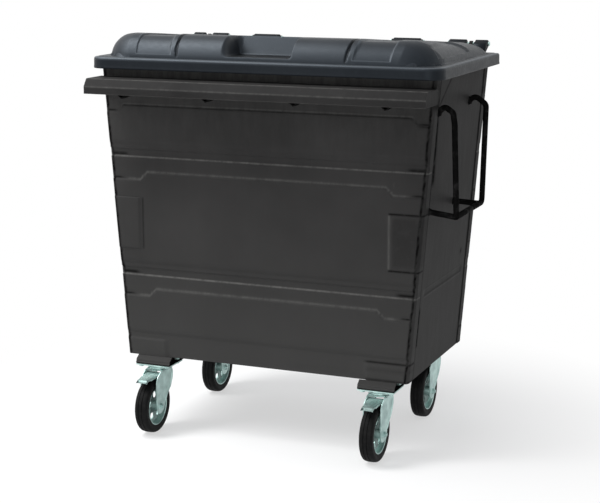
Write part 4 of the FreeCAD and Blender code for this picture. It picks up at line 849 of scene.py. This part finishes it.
def side_panel(side, hand):
    """Flared side: a sheet with one shallow groove and soft dents, leaning with the half-width.

    Painted shade lies in the seam behind the front end, the gap that widens above it and the slit below
    it, where the sheet laps the rear end, in a crease under the rim and in a small hole.
    """
    low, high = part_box(f"{side}_side_panel")
    y = spaced(low.y, high.y, 0.0075, 0.0025, [low.y + 0.052, high.y - 0.044], 0.016)
    z = spaced(low.z, high.z, 0.0080, 0.003, BASE_Z + np.array(SIDE_GROOVE), 0.014)
    grid_y, grid_z = np.meshgrid(y, z)
    level = grid_z - BASE_Z
    in_groove = np.minimum(level - SIDE_GROOVE[0], SIDE_GROOVE[1] - level)
    span = ease(grid_y - low.y - 0.07, 0.03) * ease(high.y - 0.07 - grid_y, 0.03)
    dents = waves(grid_y, grid_z, 0.0003, 21) * span
    stand = -0.0022 * ease(in_groove, 0.006) * span + dents - 0.0004
    outside = half_width(grid_z) - SHEET - 0.0001
    skins = []
    for depth in (0.0, SHEET):
        x = MIDDLE + hand * (outside + np.minimum(stand, 0.0) - depth)
        skins.append(joined(x, grid_y, grid_z))
    from_front = grid_y - low.y
    seam = 0.85 * line_mark(from_front - 0.0490, 0.0050) \
        * (0.50 + 0.50 * ease((level - 0.30) / 0.75, 0.4))
    spread = np.clip((0.96 - level) / 0.26, 0.0, 1.0)
    gap = line_mark((from_front - 0.0530 - 0.010 * spread) / (0.35 + 0.65 * spread), 0.0170) \
        * ease(level - 0.67, 0.03) * ease(0.96 - level, 0.05)
    slit = line_mark(from_front - 0.0530, 0.0080) * ease(level - 0.11, 0.01) \
        * ease(0.26 - level, 0.01)
    lap = 0.9 * line_mark(grid_y - high.y + 0.0450, 0.0055)
    crease = line_mark(grid_z - 1.245 - (grid_y + 0.22) * 0.75, 0.0060) \
        * ease(grid_y + 0.235, 0.02) * ease(-0.10 - grid_y, 0.03)
    hole = line_mark(np.hypot(grid_y - 0.215, grid_z - 0.655), 0.009)
    edges = line_mark(level - SIDE_GROOVE[0], 0.003) + line_mark(level - SIDE_GROOVE[1], 0.003)
    # Painted shade also along the groove's edges, and a painted highlight just below the groove.
    painted_shade = np.maximum.reduce([seam, gap, slit, lap, 0.8 * crease, hole, 0.22 * edges * span])
    painted_light = 0.25 * line_mark(level - SIDE_GROOVE[0] + 0.004, 0.003) * span
    make(f"side_sheet_{side}", f"{side}_side_panel", [closed_sheet(*skins, painted_shade_and_light(painted_shade, painted_light))],
         "root", "body_paint", sharp=50.0)


side_panel("left", -1.0)
side_panel("right", 1.0)


ARM_FOOT = TOP_Z - 0.078
TIE_TOP = TOP_Z - 0.048
EYE = 0.0095


def hinge_arm(middle, width):
    """Bracket arm: a strap on the rear panel that bends back under the lid and rises to its eye."""
    axis_y, axis_z = HINGE[1], HINGE[2]
    wall = 0.006
    on_panel = REAR_Y + wall / 2.0
    strap = folded_sheet([(on_panel, ARM_FOOT), (on_panel, LID_BOTTOM - 0.014),
                          (LID_REAR + 0.012, LID_BOTTOM - 0.008),
                          (axis_y - 0.001, axis_z - 0.004)], wall, 0.010, 0.003)
    turn = np.linspace(0.0, 2.0 * math.pi, 37)[:-1]
    eye = joined(axis_y + EYE * np.cos(turn), axis_z + EYE * np.sin(turn))
    low, high = MIDDLE + middle - width / 2.0, MIDDLE + middle + width / 2.0
    return [plate_across(strap, low, high), plate_across(eye, low, high)]


def hinge_brackets():
    """One wide arm between each outer pair of knuckles, and a tied pair beside each middle one."""
    parts = []
    for hand in (-1.0, 1.0):
        parts += hinge_arm(hand * 0.5370, 0.012)
        for place in (0.2300, 0.3460):
            parts += hinge_arm(hand * place, 0.005)
        tie_y = REAR_Y + 0.0062
        tie = [(REAR_Y, ARM_FOOT), (tie_y, ARM_FOOT), (tie_y, TIE_TOP), (REAR_Y, TIE_TOP)]
        ends = sorted((MIDDLE + hand * 0.2275, MIDDLE + hand * 0.3485))
        parts.append(plate_across(tie, *ends))
    make("hinge_bracket_arms", "hinge_brackets", parts, "root", "body_paint", sharp=40.0,
         bevel=0.0006)


hinge_brackets()


def gussets():
    """Four folded gussets under the rail: a web, and a V-shaped trough open to the front."""
    low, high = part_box("lifting_rail")
    spacing, half, wall = 0.325, 0.019, 0.0018
    face, under_top = low.y + 0.0045, high.z - 0.0045
    web = [(high.y, under_top), (low.y + 0.026, under_top), (face, high.z - 0.030),
           (face, low.z + 0.002), (low.y + 0.064, low.z - 0.012), (high.y, low.z)]
    bottom, top = low.z - 0.0135, low.z + 0.003
    parts = []
    for step in (-1.5, -0.5, 0.5, 1.5):
        x = MIDDLE + step * spacing
        parts.append(plate_across(web, x - 0.002, x + 0.002))
        for hand in (-1.0, 1.0):
            section = np.array([(x, bottom), (x + hand * half, top),
                                (x + hand * (half - wall), top), (x, bottom + wall * 1.6)])
            points = joined(section[:, 0], [[low.y + 0.0105], [low.y + 0.060]], section[:, 1])
            faces = quads(2, 4, wrap_columns=True).tolist() + end_faces(2, 4)
            # The troughs are darkened with painted shade.
            parts.append((points.reshape(-1, 3), faces, painted_shade_and_light(np.full(8, 0.75))))
    make("gusset_troughs", "rail_gussets", parts, "root", "body_paint", sharp=35.0)


gussets()


def caster_bracket(corner, end):
    """Folded bracket: a lip on the plate and an upright face whose shoulder runs back to the body.

    Its cheeks are set in from the ends. end is -1 at the front and 1 at the rear.
    """
    low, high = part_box(f"caster_bracket_{corner}")
    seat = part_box(f"caster_plate_{corner}")[1].z
    wall = 0.004
    near, far = (low.y, high.y) if end < 0 else (high.y, low.y)

    def set_back(distance):
        """Place behind the bracket's outer side."""
        return near - end * distance

    section = folded_sheet([(far, seat + wall / 2.0), (set_back(0.0015), seat + wall / 2.0),
                            (set_back(0.0015), seat + 0.0060), (set_back(0.0050), seat + 0.0090),
                            (set_back(0.0055), high.z - 0.0140),
                            (set_back(0.0245), high.z - 0.0015)], wall * 0.7, 0.003, 0.002)
    xs = np.linspace(low.x, high.x, 40)
    wobble = 0.0006 * np.sin(xs * 210.0) * np.sin(xs * 37.0)
    shift = np.zeros((len(xs), len(section), 2))
    shift[:, :, 1] = np.abs(wobble)[:, None] * ease(seat + 0.004 - section[:, 1], 0.003)[None, :]
    # Painted shade along the lip on the plate.
    lip_shade = 0.85 * ease(seat + 0.0065 - section[:, 1], 0.003)
    parts = [(*carried(section, xs, shift), painted_shade_and_light(np.tile(lip_shade, len(xs))))]
    cheek = [(far, seat + wall), (far, high.z), (set_back(0.0240), high.z),
             (set_back(0.0080), high.z - 0.0140), (set_back(0.0050), seat + wall + 0.010),
             (set_back(0.0050), seat + wall)]
    for x in (low.x + 0.030, high.x - 0.030):
        parts.append(plate_across(cheek, x - 0.0015, x + 0.0015))
    make(f"folded_bracket_{corner}", f"caster_bracket_{corner}", parts, "root", "body_paint",
         sharp=40.0)


for corner, end in (("front_left", -1), ("front_right", -1), ("rear_left", 1), ("rear_right", 1)):
    caster_bracket(corner, end)


# ---- side handle -------------------------------------------------------------------------------

REAR_LEAN = 0.050


def side_handle():
    """Round-bar frame: a front loop and its step, a rear bar that leans forward, and a strut.

    A weld bead stands where each bar meets the side.
    """
    low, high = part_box("side_handle")
    radius = 0.010
    bar_x = high.x - radius
    near = low.y + radius
    far = high.y - radius
    top = high.z - radius
    foot = low.z + radius

    def wall_x(z):
        """Place just inside the body's right side at a height."""
        return MIDDLE + half_width(z) - 0.004

    front = rounded_path([(wall_x(top - 0.022), near, top - 0.022),
                          (wall_x(top) + 0.020, near, top + 0.001),
                          (bar_x - 0.018, near, top - 0.020), (bar_x - 0.012, near, top - 0.060),
                          (bar_x, near, foot - 0.001)], 0.016)
    step = rounded_path([(wall_x(foot), near, foot + 0.010), (bar_x - 0.03, near, foot + 0.002),
                         (bar_x, near, foot - 0.002)], 0.03)
    rear = rounded_path([(wall_x(top - 0.018), far, top - 0.018),
                         (wall_x(top) + 0.022, far, top + 0.001),
                         (bar_x - 0.006, far, top - 0.028), (bar_x, far - REAR_LEAN, foot),
                         (bar_x, near, foot - 0.001)], 0.020)
    strut_y = far - REAR_LEAN - 0.030
    strut = rounded_path([(wall_x(foot), strut_y, foot + 0.004),
                          (bar_x - 0.03, strut_y, foot + 0.001), (bar_x, strut_y, foot)], 0.03)
    bars = [tube(line, radius) for line in (front, step, rear, strut)]
    for place, level in ((near, top - 0.022), (near, foot + 0.010), (far, top - 0.018),
                         (strut_y, foot + 0.004)):
        bead = np.linspace(0.0, 0.010, 7)
        line = joined(wall_x(level) + bead, place, level)
        bars.append(tube(line, radius + 0.005 * (1.0 - bead / 0.010) ** 1.5))
    # Painted shade darkens the whole frame to near black.
    bars = [(points, faces, painted_shade_and_light(np.full(len(points), 0.92))) for points, faces in bars]
    make("handle_frame", "side_handle", bars, "root", "body_paint", sharp=60.0)


side_handle()


# ---- casters -----------------------------------------------------------------------------------

def upright_lathe(profile, centre, count):
    """Ring turned about the Z axis: each (z, radius) of a closed profile goes round count steps."""
    points, faces = lathe(profile, (0.0, 0.0, 0.0), count)
    return points[:, [1, 2, 0]] + np.asarray(centre), faces


def tyre(corner, axle):
    """Solid tyre: crowned tread with two grooves, rounded shoulders and a lip at the seat."""
    half, outer, seat, turned = 0.025, 0.100, 0.0703, 0.0105
    side = np.array([(0.0212, seat), (0.0232, seat + 0.0014), (0.0240, seat + 0.0045),
                     (0.0236, seat + 0.0075), (0.0244, seat + 0.0125), (0.0250, 0.0868)])
    turn = np.linspace(0.0, math.pi / 2.0, 9)[1:]
    shoulder = joined(half - turned + turned * np.cos(turn), 0.0880 + 0.0110 * np.sin(turn))
    tread = np.array([(0.0108, 0.0995), (0.0087, 0.0997), (0.0083, 0.0978), (0.0048, 0.0978),
                      (0.0044, 0.0999), (0.0, outer)])
    right = np.concatenate([side, shoulder, tread])
    left = right[::-1][1:] * np.array([-1.0, 1.0])
    ring = lathe(np.concatenate([right, left]), axle, 112)
    make(f"tyre_tread_{corner}", f"tyre_{corner}", [ring], f"wheel_{corner}", "tyre_rubber",
         sharp=50.0)


def opened_disc(inner, outer, hole, circle, count, dish, wall):
    """Pressed disc with round openings, as both skins and the walls between them.

    Round each opening, points run from its lip out to the nearest bound of its sector: the hub
    circle, the seat circle or the line half way to the next opening. The disc's middle is moved
    along the axle by dish times a smooth step of the radius.
    """
    turn = np.linspace(0.0, 2.0 * math.pi, 73)[:-1]
    ray = joined(np.sin(turn), np.cos(turn))
    along = ray[:, 1] * circle

    def to_circle(radius):
        """Distance along each ray from the opening's middle to a circle about the axle."""
        under = along ** 2 - circle ** 2 + radius ** 2
        root = np.sqrt(np.maximum(under, 0.0))
        first, second = -along - root, -along + root
        hit = np.where(first > 0.0, first, second)
        return np.where((under > 0.0) & (hit > 0.0), hit, 9.0)

    half_sector = math.pi / count
    reaches = [to_circle(inner), to_circle(outer)]
    for sign in (-1.0, 1.0):
        normal = np.array([math.cos(half_sector) * sign, -math.sin(half_sector)])
        speed = ray @ normal
        gap = -circle * normal[1]
        reaches.append(np.where(speed > 1e-6, gap / np.maximum(speed, 1e-6), 9.0))
    reach = np.minimum.reduce(reaches)
    share = np.array([0.0, 0.06, 0.16, 0.35, 0.6, 0.8, 1.0])
    distance = hole + (reach[None, :] - hole) * share[:, None]
    local = ray[None, :, :] * distance[:, :, None] + np.array([0.0, circle])
    radius = np.linalg.norm(local, axis=-1)
    offset = dish * (ease(radius - inner, 0.010) - ease(radius - outer + 0.012, 0.012))
    lip = 0.0022 * (1.0 - ease(distance - hole, 0.0045))
    parts = []
    for step in range(count):
        angle = 2.0 * math.pi * step / count
        y = local[:, :, 0] * math.cos(angle) + local[:, :, 1] * math.sin(angle)
        z = -local[:, :, 0] * math.sin(angle) + local[:, :, 1] * math.cos(angle)
        near = joined(offset + lip + wall / 2.0, y, z)
        far = joined(offset + lip - wall / 2.0, y, z)
        grid = np.concatenate([near[::-1], far], axis=0)
        parts.append((grid.reshape(-1, 3), quads(len(grid), len(turn), wrap_columns=True)))
    return parts


def wheel(corner, axle):
    """Pressed wheel: rolled seat with turned-out edges, dished disc with openings, and the hub."""
    centre = np.array(axle)
    seat, roll = 0.070, 0.0022
    turn = np.linspace(0.0, math.pi, 7)
    edge = joined(0.0205 + roll * np.sin(turn), seat + roll - roll * np.cos(turn) - 0.0030)
    inside = seat - 0.0034
    right = np.concatenate([[(0.0, seat), (0.0120, seat), (0.0185, seat)], edge[::-1],
                            [(0.0185, seat - 0.0030), (0.0120, inside), (0.0, inside)]])
    left = right[::-1][1:-1] * np.array([-1.0, 1.0])
    hub = [(0.0290, 0.0062), (0.0290, 0.0155), (0.0278, 0.0168), (0.0040, 0.0172)]
    hub += [(-x, radius) for x, radius in hub[::-1]]
    parts = [lathe(np.concatenate([right, left]), centre, 96), lathe(hub, centre, 48)]
    for points, faces in opened_disc(inner=0.0168, outer=seat - 0.0030, hole=0.0125, circle=0.0415,
                                     count=5, dish=0.006, wall=0.003):
        radius = np.hypot(points[:, 1], points[:, 2])
        # Painted shade over the disc inside the seat.
        shade = 0.60 * ease(0.0600 - radius, 0.014)
        parts.append((points + centre, faces, painted_shade_and_light(shade)))
    for side in (-1.0, 1.0):
        seal = [(side * 0.0291, 0.0062), (side * 0.0297, 0.0066), (side * 0.0297, 0.0125),
                (side * 0.0288, 0.0130)]
        parts.append(lathe(seal, centre, 40))
    make(f"wheel_disc_{corner}", f"wheel_rim_{corner}", parts, f"wheel_{corner}", "zinc_plate",
         sharp=45.0)


TRAIL = 0.060


def fork(corner, x, y, axle_z):
    """Pressed fork: two cheeks with rolled rear edges, and a crown with its lower race."""
    gap, wall = 0.030, 0.004
    crown_top = 0.2327
    corners = [(0.041, crown_top), (-0.040, crown_top), (-0.062, 0.2230), (-0.085, 0.2060),
               (-0.0885, 0.1850), (-0.0880, 0.1080), (-0.0860, 0.0830), (-0.0700, 0.0715),
               (-0.0500, 0.0715), (-0.0340, 0.0830), (-0.0270, 0.1000), (-0.0100, 0.1280),
               (0.0230, 0.1600), (0.0370, 0.1900)]
    line = softened(corners) + np.array([y, 0.0])
    line[:, 1] = np.minimum(line[:, 1], crown_top)
    parts = []
    for side in (-1.0, 1.0):
        inner, outer = x + side * gap, x + side * (gap + wall)
        parts.append(plate_across(line, *sorted((inner, outer))))
        edge_x = outer - side * 0.0015
        edge = rounded_path([(edge_x, y + 0.0375, 0.2250), (edge_x, y + 0.0345, 0.1870),
                             (edge_x, y + 0.0190, 0.1580), (edge_x, y - 0.0110, 0.1300),
                             (edge_x, y - 0.0290, 0.1010)], 0.03)
        taper = np.linspace(0.0, 1.0, len(edge))
        thinned = np.clip(np.minimum(taper, 1.0 - taper) * 8.0, 0.2, 1.0)
        parts.append(tube(edge, 0.0042 * thinned, 12))
        foot_x, face_x = outer - 0.002 * side, x + side * (gap + wall + 0.0018)
        boss = [(foot_x, 0.0062), (face_x, 0.0062), (face_x, 0.0150),
                (x + side * (gap + wall + 0.0002), 0.0172), (foot_x, 0.0172)]
        parts.append(lathe(boss, (0.0, y - TRAIL, axle_z), 40))
    cup = [(0.0040, 0.0072), (0.0, 0.0072), (0.0, 0.0385), (0.0012, 0.0412), (0.0032, 0.0425),
           (0.0058, 0.0425), (0.0075, 0.0410), (0.0080, 0.0380), (0.0082, 0.0240), (0.0040, 0.0190)]
    cup = [(crown_top - drop, radius) for drop, radius in cup]
    cup_points, cup_faces = upright_lathe(cup, (x, y, 0.0), 72)
    # Painted shade in a ring where the race meets the crown.
    shade = 0.75 * line_mark(cup_points[:, 2] - crown_top + 0.0030, 0.0016)
    parts.append((cup_points, cup_faces, painted_shade_and_light(shade)))
    across = np.linspace(-1.0, 1.0, 25)
    along = np.linspace(-0.040, 0.041, 17)
    sheet_x, sheet_y = np.meshgrid(across, along)
    turned = 0.0040 * np.clip(np.abs(sheet_x) * 4.0 - 3.0, 0.0, 1.0) ** 2
    top = joined(x + sheet_x * (gap + wall), y + sheet_y, crown_top - 0.0003 - turned)
    under = top - np.array([0.0, 0.0, wall])
    parts.append(closed_sheet(top, under))
    make(f"fork_pressing_{corner}", f"fork_{corner}", parts, f"swivel_{corner}", "zinc_plate",
         sharp=38.0, bevel=0.0007)


PEDAL_HALF = 0.0295
PEDAL_TAPER = 0.0075
PEDAL_ROOT = 0.041
PEDAL_LENGTH = 0.1035
PEDAL_TOP = 0.2197


def pedal(corner, x, y):
    """Brake pedal: a tread plate that narrows and curls down at its tip, between lobed webs."""
    share, side = np.meshgrid(np.linspace(0.0, 1.0, 30), np.linspace(-1.0, 1.0, 17), indexing="ij")
    run_y = y - PEDAL_ROOT - share * PEDAL_LENGTH
    half = PEDAL_HALF - PEDAL_TAPER * ease(share, 1.0)
    rib = 0.0016 * ease(0.55 - np.abs(side), 0.2) * ease(share - 0.1, 0.1) * ease(0.88 - share, 0.1)
    top_z = PEDAL_TOP - 0.0060 * share - 0.0060 * ease(share - 0.86, 0.14) + rib
    edge = 0.0030 * np.clip(np.abs(side) * 5.0 - 4.0, 0.0, 1.0) ** 2
    top = joined(x + side * half, run_y, top_z - edge)
    under = top - np.array([0.0, 0.0, 0.003])
    tip_corner = ease(share - 0.90, 0.04) * ease(-0.45 - side, 0.2)
    # Darker towards the curled tip and at one corner of it; painted shade under the tread.
    tip_darkening = np.maximum(0.45 * ease(share - 0.80, 0.10), tip_corner)
    tip_darkening_and_under_shade = painted_shade_and_light(np.concatenate([tip_darkening, np.maximum(tip_darkening, 0.6)]))
    parts = [(*closed_sheet(top, under), tip_darkening_and_under_shade)]
    web = softened([(-0.024, PEDAL_TOP), (-0.024, 0.2050), (-0.036, 0.1990), (-0.052, 0.1985),
                    (-0.062, 0.2090), (-0.075, 0.2100), (-0.096, 0.2090), (-0.108, 0.2070),
                    (-0.116, 0.2075), (-0.1180, 0.2110), (-0.100, 0.2155),
                    (-0.041, 0.2190)]) + np.array([y, 0.0])
    for hand in (-1.0, 1.0):
        places = sorted((x + hand * PEDAL_HALF, x + hand * 0.0265))
        points, faces = plate_across(web, *places)
        lean = np.clip((y - PEDAL_ROOT - points[:, 1]) / PEDAL_LENGTH, 0.0, 1.0)
        points[:, 0] -= hand * PEDAL_TAPER * ease(lean, 1.0)
        parts.append((points, faces))
    make(f"pedal_pressing_{corner}", f"brake_pedal_{corner}", parts, f"brake_{corner}",
         "zinc_plate", sharp=35.0, bevel=0.0006)


for corner in ("front_left", "front_right", "rear_left", "rear_right"):
    pin_low, pin_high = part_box(f"king_pin_{corner}")
    tyre_low, tyre_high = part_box(f"tyre_{corner}")
    swivel = (pin_low + pin_high) / 2.0
    axle = (tyre_low + tyre_high) / 2.0
    tyre(corner, axle)
    wheel(corner, axle)
    fork(corner, swivel.x, swivel.y, axle.z)
    if corner.startswith("front"):
        pedal(corner, swivel.x, swivel.y)


# ---- stage, lamps and camera -------------------------------------------------------------------

def seen_or_mirrored(tree):
    """Share that is 1 for camera, glossy and transmission rays, and 0 for light that falls."""
    path = node(tree, "ShaderNodeLightPath")
    seen = path.outputs["Is Camera Ray"]
    for ray in ("Is Glossy Ray", "Is Transmission Ray"):
        seen = node(tree, "ShaderNodeMath", {"operation": "MAXIMUM"}, _0=seen,
                    _1=path.outputs[ray]).outputs[0]
    return seen


def pale_floor():
    """Pale matt floor that goes over to plain white away from the container, for the eye alone."""
    material, tree, shader, place = start_finish("pale_floor", Roughness=0.9)
    shader.inputs["Base Color"].default_value = (0.93, 0.93, 0.93, 1.0)
    away = node(tree, "ShaderNodeVectorMath", {"operation": "LENGTH"}, _0=place).outputs["Value"]
    share = product(tree, between(tree, away, 0.6, 1.5, 0.55, 1.0), seen_or_mirrored(tree))
    white = node(tree, "ShaderNodeEmission", Color=(1.0, 1.0, 1.0, 1.0), Strength=1.0)
    mixed = node(tree, "ShaderNodeMixShader", _0=share, _1=shader.outputs[0], _2=white.outputs[0])
    tree.links.new(mixed.outputs[0], tree.nodes["Material Output"].inputs["Surface"])
    return material


def studio():
    """White surroundings, pale floor that takes the shadow, soft lamps and the camera."""
    world = bpy.data.worlds.new("surroundings")
    bpy.context.scene.world = world
    world.use_nodes = True
    tree = world.node_tree
    backdrop = tree.nodes["Background"]
    seen = seen_or_mirrored(tree)
    tree.links.new(blend_colours(tree, seen, (0.42, 0.43, 0.45, 1.0), (1.0, 1.0, 1.0, 1.0)),
                   backdrop.inputs["Color"])

    floor_mesh = bpy.data.meshes.new("studio_floor")
    reach = 9.0
    floor_mesh.from_pydata([(-reach, -reach, 0.0), (reach, -reach, 0.0), (reach, reach, 0.0),
                            (-reach, reach, 0.0)], [], [(0, 1, 2, 3)])
    floor = bpy.data.objects.new("studio_floor", floor_mesh)
    bpy.context.scene.collection.objects.link(floor)
    floor_mesh.materials.append(pale_floor())

    for name, place, aim, size, watts in (
            ("key_lamp", (-3.2, -2.4, 3.6), (0.0, 0.0, 1.0), 1.8, 120.0),
            ("front_lamp", (1.6, -5.2, 0.7), (0.0, 0.0, 0.4), 2.0, 75.0),
            ("side_lamp", (4.6, 0.6, 1.2), (0.0, 0.0, 0.5), 2.0, 1.5),
            ("top_lamp", (-2.0, -0.9, 4.2), (-0.1, 0.0, 1.2), 1.7, 140.0)):
        lamp = bpy.data.lights.new(name, "AREA")
        lamp.size = size
        lamp.energy = watts
        stand = bpy.data.objects.new(name, lamp)
        bpy.context.scene.collection.objects.link(stand)
        stand.location = place
        from_lamp = np.array(aim) - np.array(place)
        flat = math.hypot(from_lamp[0], from_lamp[1])
        stand.rotation_euler = (math.atan2(flat, -from_lamp[2]), 0.0,
                                math.atan2(-from_lamp[0], from_lamp[1]))

    lens = bpy.data.cameras.new("camera")
    lens.lens = 92.87
    lens.sensor_width = 36.0
    camera = bpy.data.objects.new("camera", lens)
    bpy.context.scene.collection.objects.link(camera)
    camera.location = (2.1241, panel_low.y - 4.8734, 1.8100)
    camera.rotation_euler = (math.pi / 2.0 - 0.2045, 0.0, 0.3893)
    bpy.context.scene.camera = camera
    bpy.context.scene.view_settings.view_transform = "Standard"


studio()
